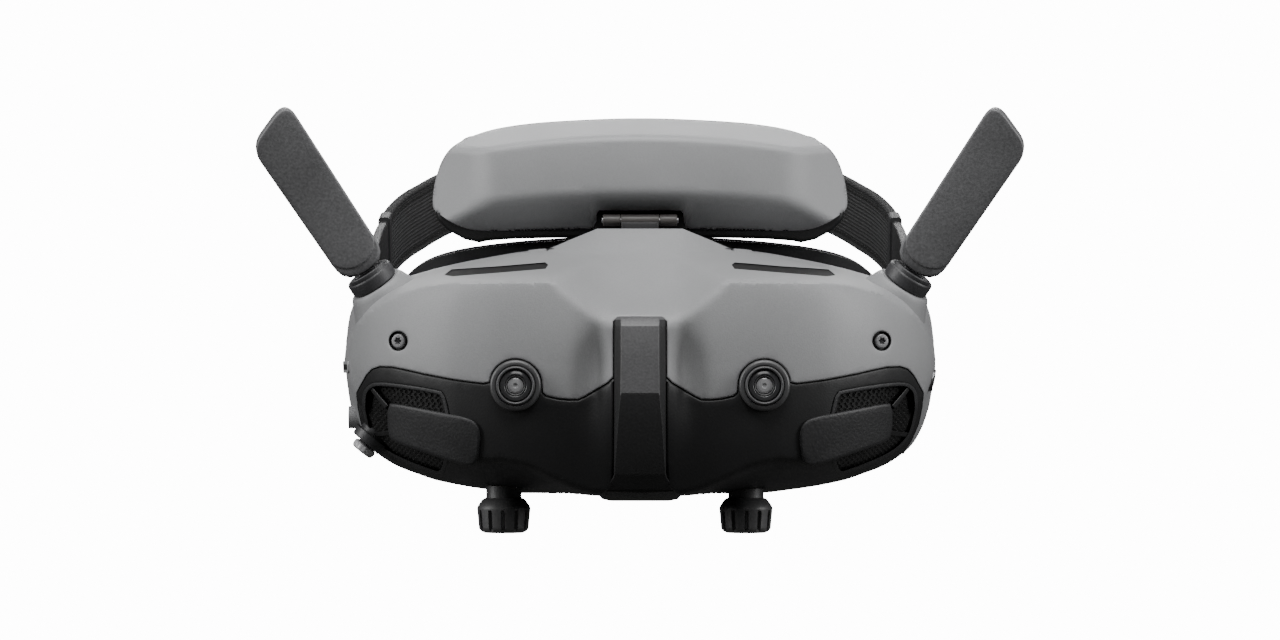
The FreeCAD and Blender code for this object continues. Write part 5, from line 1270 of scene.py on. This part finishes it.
def puff(ob, voxel, cap, pin=None, pressure=4.0, frames=20, smooth=6, mass=0.05):
    """Remeshes a closed soft piece, swells it with Cloth and keeps the result, each point moved no further than cap."""
    md = ob.modifiers.new("remesh", "REMESH")
    md.mode = "VOXEL"
    md.voxel_size = voxel * MM
    apply_mods(ob)
    bm = bmesh.new()
    bm.from_mesh(ob.data)
    for _ in range(smooth):
        bmesh.ops.smooth_vert(bm, verts=bm.verts, factor=0.5, use_axis_x=True, use_axis_y=True, use_axis_z=True)
    bm.to_mesh(ob.data)
    bm.free()
    rest_ = np.array([v.co[:] for v in ob.data.vertices])
    vg = ob.vertex_groups.new(name="held")
    if pin is not None:
        for v in ob.data.vertices:
            w = float(pin(v.co.x / MM, v.co.y / MM, v.co.z / MM))
            if w > 0:
                vg.add([v.index], min(1.0, w), "REPLACE")
    cl = ob.modifiers.new("cloth", "CLOTH")
    st = cl.settings
    st.quality = 5
    st.mass = mass
    st.tension_stiffness = 12.0
    st.compression_stiffness = 12.0
    st.shear_stiffness = 4.0
    st.bending_stiffness = 0.3
    st.use_pressure = True
    st.uniform_pressure_force = pressure
    st.effector_weights.gravity = 0.0
    if pin is not None:
        st.vertex_group_mass = "held"
    cl.collision_settings.use_collision = False
    cl.collision_settings.use_self_collision = False
    cl.point_cache.frame_start = 1
    cl.point_cache.frame_end = frames
    sc_ = bpy.context.scene
    for f in range(1, frames + 1):
        sc_.frame_set(f)
    deps = bpy.context.evaluated_depsgraph_get()
    ev = ob.evaluated_get(deps)
    sim = np.array([v.co[:] for v in ev.data.vertices])
    ob.modifiers.clear()
    sc_.frame_set(1)
    d = sim - rest_
    L_ = np.linalg.norm(d, axis=1, keepdims=True)
    d = d * (cap * MM * (1 - np.exp(-L_ / (cap * MM))) / np.maximum(L_, 1e-9))
    for v, p in zip(ob.data.vertices, rest_ + d):
        v.co = p
    sb = ob.modifiers.new("sub", "SUBSURF")
    sb.levels = 1
    sb.render_levels = 1
    apply_mods(ob)
    ob.data.shade_smooth()
    return ob


def rope(name, path, r, mat, body, closed=True, n=8):
    """A thin round seam welt along a path."""
    P_ = [Vector(p) for p in path]
    N = len(P_)
    verts, faces = [], []
    up0 = Vector((0, 0, 1))
    for i, p in enumerate(P_):
        t = (P_[(i + 1) % N] - P_[i - 1]) if closed else (P_[min(N - 1, i + 1)] - P_[max(0, i - 1)])
        t.normalize()
        a = up0 - t * up0.dot(t)
        if a.length < 0.2:
            a = Vector((0, 1, 0)) - t * t.y
        a.normalize()
        b = t.cross(a)
        for k in range(n):
            c = 2 * math.pi * k / n
            verts.append(p + a * (r * math.cos(c)) + b * (r * math.sin(c)))
    for i in range(N if closed else N - 1):
        j = (i + 1) % N
        for k in range(n):
            l = (k + 1) % n
            faces.append((i * n + k, i * n + l, j * n + l, j * n + k))
    if not closed:
        faces.append(tuple(range(n)))
        faces.append(tuple((N - 1) * n + k for k in range(n)))
    return mk(name, verts, faces, mat, body, 60)


# foam ring that meets the face
g = 0.55
foam = ring_solid("face_foam_ring", [(0.12, lambda x: cup_y(x, 0.15)), (-0.02, lambda x: cup_y(x, 1.2)), (-0.10, lambda x: (cup_y(x) + foam_y(x)) / 2), (-0.02, lambda x: foam_y(x, -1.6)), (0.18, lambda x: foam_y(x, -0.7)), (0.5, lambda x: foam_y(x, -0.4)),
                                    (0.82, lambda x: foam_y(x, -0.7)), (1.02, lambda x: foam_y(x, -1.6)), (1.10, lambda x: (cup_y(x) + foam_y(x)) / 2), (1.02, lambda x: cup_y(x, 1.2)), (0.88, lambda x: cup_y(x, 0.15))], "knit", "housing", 60)
puff(foam, 1.3, 0.35, pin=lambda x, y, z: 1.0 if y < cup_y(x, 1.0) else 0.0)
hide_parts("face_foam")
welt_pts = [(float(p[0] * 1.02 - q[0] * 0.02), (cup_y(float(p[0])) * 0.62 + foam_y(float(p[0])) * 0.38), float(p[1] * 1.02 - q[1] * 0.02 + 0.0)) for p, q in zip(FO, FI)]
welt = rope("face_foam_seam", [(x * 1.004, y, z + (0.25 if z > 4 else -0.15)) for x, y, z in welt_pts], 0.45, "stitch", "housing")

# ------------------------------------------------------------------ brow pad foam
def loft_x(name, rows, mat, body):
    """Rows of closed (y, z) sections at given x, capped at both ends."""
    verts, faces = [], []
    m_ = len(rows[0][1])
    for x, sec in rows:
        for y, z in sec:
            verts.append((x, y, z))
    for i in range(len(rows) - 1):
        for k in range(m_):
            l = (k + 1) % m_
            faces.append((i * m_ + k, i * m_ + l, (i + 1) * m_ + l, (i + 1) * m_ + k))
    faces.append(tuple(range(m_)))
    faces.append(tuple((len(rows) - 1) * m_ + k for k in range(m_)))
    return mk(name, verts, faces, mat, body, 60)


def rsec(y0, y1, z0, z1, r, n=5):
    r = min(r, (y1 - y0) / 2.05, (z1 - z0) / 2.05)
    return box_loop(y0, y1, z0, z1, r, n)


rows = []
for x in np.linspace(-49.2, 49.2, 70):
    e = min(1.0, (49.2 - abs(x)) / 5.0)
    sh = 4.0 * (1 - math.sqrt(max(0.0, 1 - (1 - e) ** 2)))
    yb = -4.0 + 95.0 - math.sqrt(95.0 ** 2 - x * x) - 1.3
    pinch = 0.0
    for sx in (-25.0, 0.0, 25.0):
        pinch += 1.4 * math.exp(-((x - sx) / 1.6) ** 2)
    rows.append((float(x), rsec(-15.0, yb - sh * 0.6 - pinch, 42.7 + sh, 63.3 - sh, 4.2)))
pf = loft_x("brow_foam", rows, "knit", "brow_pad")


def hold_brow(x, y, z):
    w = 1.0 if y < -13.4 else 0.0
    for sx in (-25.0, 0.0, 25.0):
        if abs(x - sx) < 1.0 and y > -12:
            w = 1.0
    return w


puff(pf, 1.7, 0.9, pin=hold_brow)
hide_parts("pad_foam")
# piping where the cover is stitched to the base
loop_pts = []
for p in resample(box_loop(-49.8, 49.8, 42.3, 63.7, 4.6, 6), 1.6):
    loop_pts.append((p[0], -13.6, p[1]))
pipe = rope("brow_foam_piping", loop_pts, 0.7, "stitch", "brow_pad")

# ------------------------------------------------------------------ headband
ARM = [(-16.0, 74.0, 21.0, 5.0), (0.0, 74.2, 24.0, 6.4), (20.0, 74.0, 28.4, 7.6), (36.0, 73.6, 31.6, 8.4), (52.0, 73.0, 34.0, 8.8)]
PATH = [(52.2, 73.0, 34.0), (66.0, 72.3, 36.6), (84.0, 70.8, 39.6), (102.0, 68.6, 42.4), (120.0, 66.0, 44.8), (136.0, 63.6, 47.0), (150.0, 60.6, 49.2), (164.0, 56.0, 51.8), (176.0, 50.0, 54.2), (184.0, 43.6, 56.2), (187.4, 38.0, 57.0)]


def along(table, n):
    tb = np.array(table, float)
    s = np.concatenate([[0], np.cumsum(np.linalg.norm(np.diff(tb[:, :3], axis=0), axis=1))])
    t = np.linspace(0, s[-1], n)
    return np.stack([interp(t, s, tb[:, k]) for k in range(tb.shape[1])], 1)


def flat_section(w, t, r=0.6, n=4):
    return [(a, b) for a, b in box_loop(-w / 2, w / 2, -t / 2, t / 2, r, n)]


for sgn, side in ((1, "left"), (-1, "right")):
    A = along(ARM, 40)
    pth = [(sgn * x, y, z) for y, x, z, h in A]
    hs = [float(h) for y, x, z, h in A]

    def arm_sec(u):
        k = u * (len(hs) - 1)
        h = hs[int(round(k))]
        t = 2.6
        return [(a, b) for a, b in box_loop(-h, h, -t / 2, t / 2, 0.8, 4)]
    arm = sweep("band_arm_skin_" + side, pth, arm_sec, "arm", "band", angle=50)
    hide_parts("band_arm_" + side)
    eye = lathe("band_arm_eye_" + side, [(2.1, -1.3), (6.2, -1.3), (6.6, -0.9), (6.6, 0.9), (6.2, 1.35), (4.6, 1.35), (4.3, 1.1), (2.1, 1.1)], frame_from((sgn * 74.0, -16, 21), (sgn, 0, 0), (0, 0, 1)), "arm", "band", 56, 0.2)
    # raised rib along the arm and the clamp that holds the strap
    rib = sweep("band_arm_rib_" + side, [(sgn * (x + 1.25), y, z) for y, x, z, h in A[6:-5]], [(a, b) for a, b in box_loop(-2.2, 2.2, -0.45, 0.45, 0.4, 3)], "arm", "band", angle=50)
    S_ = along(PATH, 150)
    spth = [(sgn * x, y, z) for y, x, z in S_]
    st = sweep("strap_web_" + side, spth, flat_section(18.5, 2.2, 0.9, 4), "web", "band", angle=60, uv=True)
    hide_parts("strap_" + side)
    # smooth edge binding above and below, and two rows of stitches
    for ei, off in ((0, 8.95), (1, -8.95)):
        eb = sweep("strap_edge_%s_%d" % (side, ei), [(p[0], p[1], p[2] + off) for p in spth], [(a, b) for a, b in box_loop(-0.75, 0.75, -1.3, 1.3, 0.6, 3)], "stitch", "band", angle=60)
    verts, faces = [], []
    tot = len(spth)
    dense_p = along(PATH, 1400)
    dp = np.array([(sgn * x, y, z) for y, x, z in dense_p])
    cum = np.concatenate([[0], np.cumsum(np.linalg.norm(np.diff(dp, axis=0), axis=1))])
    for off in (7.1, -7.1):
        pos = 2.0
        while pos < cum[-1] - 4:
            i0, i1 = np.searchsorted(cum, pos), np.searchsorted(cum, pos + 1.7)
            a, b = Vector(dp[i0]), Vector(dp[i1])
            t = (b - a).normalized()
            nrm = t.cross(Vector((0, 0, 1))) * (1 if sgn > 0 else -1)
            nrm.normalize()
            upv = Vector((0, 0, 1))
            for face_side in (1, -1):
                base = len(verts)
                m0, m1 = a + upv * off + nrm * (1.08 * face_side), b + upv * off + nrm * (1.08 * face_side)
                mid = (m0 + m1) / 2 + nrm * (0.32 * face_side)
                for q, w_ in ((m0, 0.2), (mid, 0.36), (m1, 0.2)):
                    verts.extend([q + upv * w_, q + nrm * (w_ * 0.5 * face_side), q - upv * w_])
                faces.extend([(base, base + 1, base + 4, base + 3), (base + 1, base + 2, base + 5, base + 4), (base + 3, base + 4, base + 7, base + 6), (base + 4, base + 5, base + 8, base + 7),
                              (base, base + 3, base + 5, base + 2), (base + 3, base + 6, base + 8, base + 5), (base, base + 2, base + 1), (base + 6, base + 7, base + 8)])
            pos += 2.9
    sts = mk("strap_stitches_" + side, verts, faces, "thread", "band", 60)
    # clamp over the joint between arm and strap
    cl_pts = [(sgn * (73.0 - 0.02 * k), 49.0 + 1.2 * k, 33.5 + 0.22 * k) for k in range(9)]
    cl = sweep("strap_clamp_" + side, cl_pts, [(a, b) for a, b in box_loop(-9.9, 9.9, -1.7, 1.7, 0.9, 4)], "arm", "band", angle=50)

# rear case
ci = plate("rear_case_inner_skin", box_loop(-47, 47, 41.5, 72.5, 9.0, 8), 180.0, 191.9, "case", "band", None, 2.2, 5, step=2.0)
co_ = plate("rear_case_outer_skin", box_loop(-47, 47, 41.5, 72.5, 9.0, 8), 192.1, 203.0, "case", "band", None, 3.6, 6, step=2.0)
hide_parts("rear_case_inner")
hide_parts("rear_case_outer")
gasket = plate("rear_case_gasket", box_loop(-46.5, 46.5, 42.0, 72.0, 8.6, 8), 191.2, 192.8, "inner", "band", None, 0.2, 2, step=2.0)
ring_ = lathe("dial_collar", [(13.4, 202.2), (13.4, 203.05), (14.2, 203.5), (15.4, 203.5), (16.2, 203.05), (16.2, 202.2)], frame_from((0, 0, 57), (0, 1, 0), (1, 0, 0)), "case", "band", 96, 0.25)
mod_dial = lambda rr, h, a: rr - (0.65 * (0.5 - 0.5 * math.cos(24 * a)) ** 2 if (rr > 11.5 and 204.0 < h < 209.6) else 0.0)
dial = lathe("fit_dial_skin", [(0, 203.4), (12.6, 203.4), (12.9, 203.8), (12.9, 204.2), (12.95, 206.0), (12.9, 208.9), (12.5, 209.7), (11.6, 210.2), (9.8, 210.25), (9.4, 209.9), (9.2, 209.3), (6.0, 209.0), (0, 208.9)], frame_from((0, 0, 57), (0, 1, 0), (1, 0, 0)), "knob", "fit_dial", 288, 0.25, mod=mod_dial)
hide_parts("fit_dial")
grip = plate("fit_dial_grip", box_loop(-8.6, 8.6, -1.5, 1.5, 1.45, 5), 208.4, 209.9, "knob", "fit_dial", Matrix.Translation((0, 0, 57)), 0.5, 3, step=0.8)
for i, (cx, cz) in enumerate(((-40.5, 46.0), (-40.5, 68.0), (40.5, 46.0))):
    s_ = lathe("case_screw_%d" % i, [(1.7, 202.4), (1.7, 203.1), (1.45, 203.3), (0.85, 203.3), (0.8, 203.2), (0.75, 202.6), (0, 202.5)], frame_from((cx, 0, cz), (0, 1, 0), (1, 0, 0)), "screw", "band", 48, 0.08, mod=lambda rr, h, a: rr * (1 + (0.15 * math.cos(6 * a) if rr < 0.9 else 0)))

rows = []
for x in np.linspace(-41.0, 41.0, 56):
    e = min(1.0, (41.0 - abs(x)) / 5.0)
    sh = 4.0 * (1 - math.sqrt(max(0.0, 1 - (1 - e) ** 2)))
    pinch = sum(0.9 * math.exp(-((x - sx) / 1.4) ** 2) for sx in (-20.5, 0.0, 20.5))
    rows.append((float(x), rsec(175.0 + pinch + sh * 0.3, 179.9, 44.3 + sh, 69.7 - sh, 2.2)))
rp_ = loft_x("rear_pad_cushion", rows, "knit", "band")


def hold_rear(x, y, z):
    if y > 178.8:
        return 1.0
    return 1.0 if min(abs(x + 20.5), abs(x), abs(x - 20.5)) < 0.9 else 0.0


puff(rp_, 1.5, 0.8, pin=hold_rear)
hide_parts("rear_pad")
pp = rope("rear_pad_piping", [(p[0], 178.6, p[1]) for p in resample(box_loop(-41.6, 41.6, 43.9, 70.1, 4.6, 6), 1.6)], 0.55, "stitch", "band")

# ------------------------------------------------------------------ focus knobs
def knob_mod(rr, h, a):
    if -41.6 < h < -36.2 and rr > 5.4:
        s_ = math.cos(12 * a)
        cr = max(0.0, (s_ - 0.55) / 0.45)
        top = min(1.0, max(0.0, (-36.9 + 1.3 * cr - h) / 0.45))
        bot = min(1.0, max(0.0, (h + 41.4) / 0.3))
        return rr - 0.85 * min(1.0, cr * 3.0) * top * bot
    return rr


kp = [(0, -29.7), (4.6, -29.7), (4.7, -30.0), (4.65, -32.6), (4.75, -32.95), (5.3, -33.2), (5.75, -33.5), (6.6, -34.7), (7.0, -35.4), (7.07, -35.8)]
kp += [(7.07 - 0.47 * (k / 18.0), -35.8 - 5.1 * k / 18.0) for k in range(1, 19)]
kp += [(6.45, -41.25), (5.95, -41.8), (5.13, -42.2), (4.6, -42.2), (4.3, -42.05), (0, -41.95)]
for sgn, side, cx in ((1, "left", 28.0), (-1, "right", -36.0)):
    k_ = lathe("focus_knob_skin_" + side, kp, Matrix.Translation((cx, -58.0, 0)), "knob", "knob_" + side, 288, 0.0, 30, mod=knob_mod)
    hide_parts("focus_knob_" + side)

# ------------------------------------------------------------------ stick and sockets on the corners
dirn = Vector((-0.62, 0, -0.78)).normalized()
sc_m = frame_from((-73.6, -52.0, -20.4), dirn, (0, 1, 0))
cap_s = lathe("stick_cap_skin", [(0, -8.2), (1.15, -8.2), (1.15, -2.2), (2.7, -1.6), (3.2, -1.2), (3.3, -0.7), (3.2, 0.1), (2.9, 0.6), (2.4, 0.8), (1.9, 0.65), (1.1, 0.35), (0, 0.2)], sc_m, "silver", "stick", 56, 0.25,
              mod=lambda rr, h, a: rr - (0.12 if (rr > 3.0 and int(a / (2 * math.pi) * 28) % 2 == 0 and -1.1 < h < 0.3) else 0.0))
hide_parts("stick_cap")
bezel = lathe("stick_bezel", [(4.2, -5.4), (4.2, -2.3), (4.4, -2.0), (4.7, -2.0), (4.95, -2.4), (5.2, -4.4)], sc_m, "case", "housing", 64, 0.4)


def side_point(sgn, y, z):
    """The point of the skin at this height and depth on one side, with its outward normal."""
    lo, hi = 60.0, 79.39
    for _ in range(40):
        m_ = (lo + hi) / 2
        if float(depth(m_, z)) > -y:
            lo = m_
        else:
            hi = m_
    x = (lo + hi) / 2
    e = 0.05
    gx = (float(depth(x + e, z)) - float(depth(x - e, z))) / (2 * e)
    gz = (float(depth(x, z + e)) - float(depth(x, z - e))) / (2 * e)
    n_ = Vector((-gx, -1.0, -gz)).normalized()
    return Vector((sgn * x, y, z)), Vector((sgn * n_.x, n_.y, n_.z))


p_, n_ = side_point(1, -52.0, -2.0)
jk = frame_from(p_, n_, (0, 0, 1))
o = lathe("jack_bezel", [(1.75, -1.6), (1.8, 0.1), (2.0, 0.32), (2.7, 0.32), (3.0, 0.1), (3.05, -1.0)], jk, "steel", "housing", 56, 0.12)
# painted shade: a near-black disc at the surface stands in for the deep jack hole
o = lathe("jack_well", [(0, 0.02), (1.76, 0.03), (1.76, -1.5)], jk, "inner", "housing", 48, 0.0)
p_, n_ = side_point(1, -42.0, -2.0)
us = frame_from(p_, n_, (0, 1, 0))
m_us = us @ Matrix(((1, 0, 0, 0), (0, 0, -1, 0), (0, 1, 0, 0), (0, 0, 0, 1)))


def slab_on(name, fr, loop, h0, h1, mat, body, bev=0.15):
    """A plate that stands on a surface frame: local X, Y in the surface, Z out of it."""
    m_ = fr @ Matrix(((1, 0, 0, 0), (0, 0, 1, 0), (0, 1, 0, 0), (0, 0, 0, 1)))
    return plate(name, loop, h0, h1, mat, body, m_, bev, 3, step=0.6)


o = slab_on("power_socket_rim", us, box_loop(-4.9, 4.9, -2.1, 2.1, 2.05, 6), -1.2, 0.22, "steel", "housing")
# painted shade: a near-black slab stands in for the shade inside the socket opening
o = slab_on("power_socket_well", us, box_loop(-4.3, 4.3, -1.5, 1.5, 1.45, 6), -1.2, 0.30, "inner", "housing", 0.05)
o = slab_on("power_socket_tongue", us, box_loop(-3.0, 3.0, -0.32, 0.32, 0.2, 3), -1.2, 0.36, "arm", "housing", 0.05)
p_, n_ = side_point(-1, -52.0, 1.5)
cs = frame_from(p_, n_, (0, 1, 0))
o = slab_on("card_slot_rim", cs, box_loop(-7.0, 7.0, -1.6, 1.6, 0.9, 4), -1.4, 0.03, "grey", "housing")
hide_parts("card_slot")
# painted shade: a near-black slab stands in for the shade inside the card slot
o = slab_on("card_slot_well", cs, box_loop(-6.1, 6.1, -0.7, 0.7, 0.3, 3), -1.4, 0.05, "inner", "housing", 0.02)

# ------------------------------------------------------------------ finishes of the nodes that stay as they are
KEEP = {"heat_sink": "alu", "main_board": "board", "fan_housings": "case", "ipd_rails": "steel", "battery_cell": "cell", "proximity_sensor": "gloss", "audio_jack": "case",
        "power_socket": "steel", "card_slot": "steel", "charge_light": "light", "power_button": "case", "stick_gimbal": "case", "stick_core": "case", "back_button": "grey"}
for side in ("left", "right"):
    KEEP.update({"fan_rotor_" + side: "case", "lens_carriage_" + side: "arm", "display_panel_" + side: "panel", "focus_barrel_" + side: "black", "eyepiece_lens_" + side: "lens", "knob_stem_" + side: "steel"})
left_over = []
for ob in bpy.data.objects:
    if ob.type != "MESH":
        continue
    if ob.name in KEEP:
        if not ob.data.materials:
            ob.data.materials.append(M[KEEP[ob.name]])
        for s_ in ob.material_slots:
            s_.material = M[KEEP[ob.name]]

# ------------------------------------------------------------------ stage, light, camera
def build_stage():
    world = bpy.data.worlds.new("studio")
    world.use_nodes = True
    nt = world.node_tree
    nt.nodes.clear()
    out = nt.nodes.new("ShaderNodeOutputWorld")
    a = nt.nodes.new("ShaderNodeBackground")
    a.inputs[0].default_value = (1, 1, 1, 1)
    a.inputs[1].default_value = 0.022
    b = nt.nodes.new("ShaderNodeBackground")
    b.inputs[0].default_value = (1, 1, 1, 1)
    b.inputs[1].default_value = 14.0
    lp_ = nt.nodes.new("ShaderNodeLightPath")
    mx = nt.nodes.new("ShaderNodeMixShader")
    nt.links.new(lp_.outputs["Is Camera Ray"], mx.inputs[0])
    nt.links.new(a.outputs[0], mx.inputs[1])
    nt.links.new(b.outputs[0], mx.inputs[2])
    nt.links.new(mx.outputs[0], out.inputs[0])
    bpy.context.scene.world = world
    me = bpy.data.meshes.new("floor")
    me.from_pydata([(-4, -4, -0.36), (4, -4, -0.36), (4, 2.2, -0.36), (-4, 2.2, -0.36)], [], [(0, 1, 2, 3)])
    fl = bpy.data.objects.new("floor", me)
    bpy.context.scene.collection.objects.link(fl)
    m_, nt, p = new_mat("floor_mat")
    v = tex_coord(nt)
    pale = ramp(nt, noise(nt, v, 3.0, 2.0, 0.5), [(0.3, (0.80, 0.80, 0.80)), (0.7, (0.84, 0.84, 0.84))])
    seen = nt.nodes.new("ShaderNodeLightPath")
    mx = nt.nodes.new("ShaderNodeMix")
    mx.data_type = "RGBA"
    nt.links.new(seen.outputs["Is Camera Ray"], mx.inputs[0])
    mx.inputs[6].default_value = (0.06, 0.06, 0.06, 1)
    nt.links.new(pale, mx.inputs[7])
    nt.links.new(mx.outputs[2], p.inputs["Base Color"])
    p.inputs["Roughness"].default_value = 0.9
    p.inputs["Specular IOR Level"].default_value = 0.1
    p.inputs["Emission Color"].default_value = (1, 1, 1, 1)
    nt.links.new(map_range(nt, seen.outputs["Is Camera Ray"], 0.0, 1.3), p.inputs["Emission Strength"])
    me.materials.append(m_)

    def area(name, loc, target, size, power, size_y=None):
        l = bpy.data.lights.new(name, "AREA")
        l.energy = power
        l.size = size
        if size_y:
            l.shape = "RECTANGLE"
            l.size_y = size_y
        o = bpy.data.objects.new(name, l)
        o.location = loc
        o.rotation_euler = (Vector(target) - Vector(loc)).to_track_quat("-Z", "Y").to_euler()
        bpy.context.scene.collection.objects.link(o)
        return o
    area("top_softbox", (0, -0.25, 1.0), (0, -0.03, 0.02), 1.0, 12.0, 0.6)
    area("front_top", (0, -1.05, 1.25), (0, -0.05, 0.02), 0.8, 13.0, 0.4)
    area("front_level", (0, -1.45, 0.62), (0, -0.05, 0.02), 0.5, 2.2, 0.3)
    area("left_strip", (-1.15, -0.35, 0.40), (0, -0.03, 0.02), 0.3, 13.5, 0.8)
    area("right_strip", (1.15, -0.35, 0.40), (0, -0.03, 0.02), 0.3, 13.5, 0.8)
    area("back_fill", (0, 1.3, 0.9), (0, 0.15, 0.03), 0.9, 9.0, 0.4)
    cam = bpy.data.cameras.new("cam")
    co = bpy.data.objects.new("cam", cam)
    cam.sensor_width = 36.0
    cam.lens = 141.2
    cam.clip_end = 20
    cam.clip_start = 0.01
    co.location = (0.0, -1.385, 0.014)
    co.rotation_euler = (math.pi / 2, 0, 0)
    bpy.context.scene.collection.objects.link(co)
    bpy.context.scene.camera = co


build_stage()
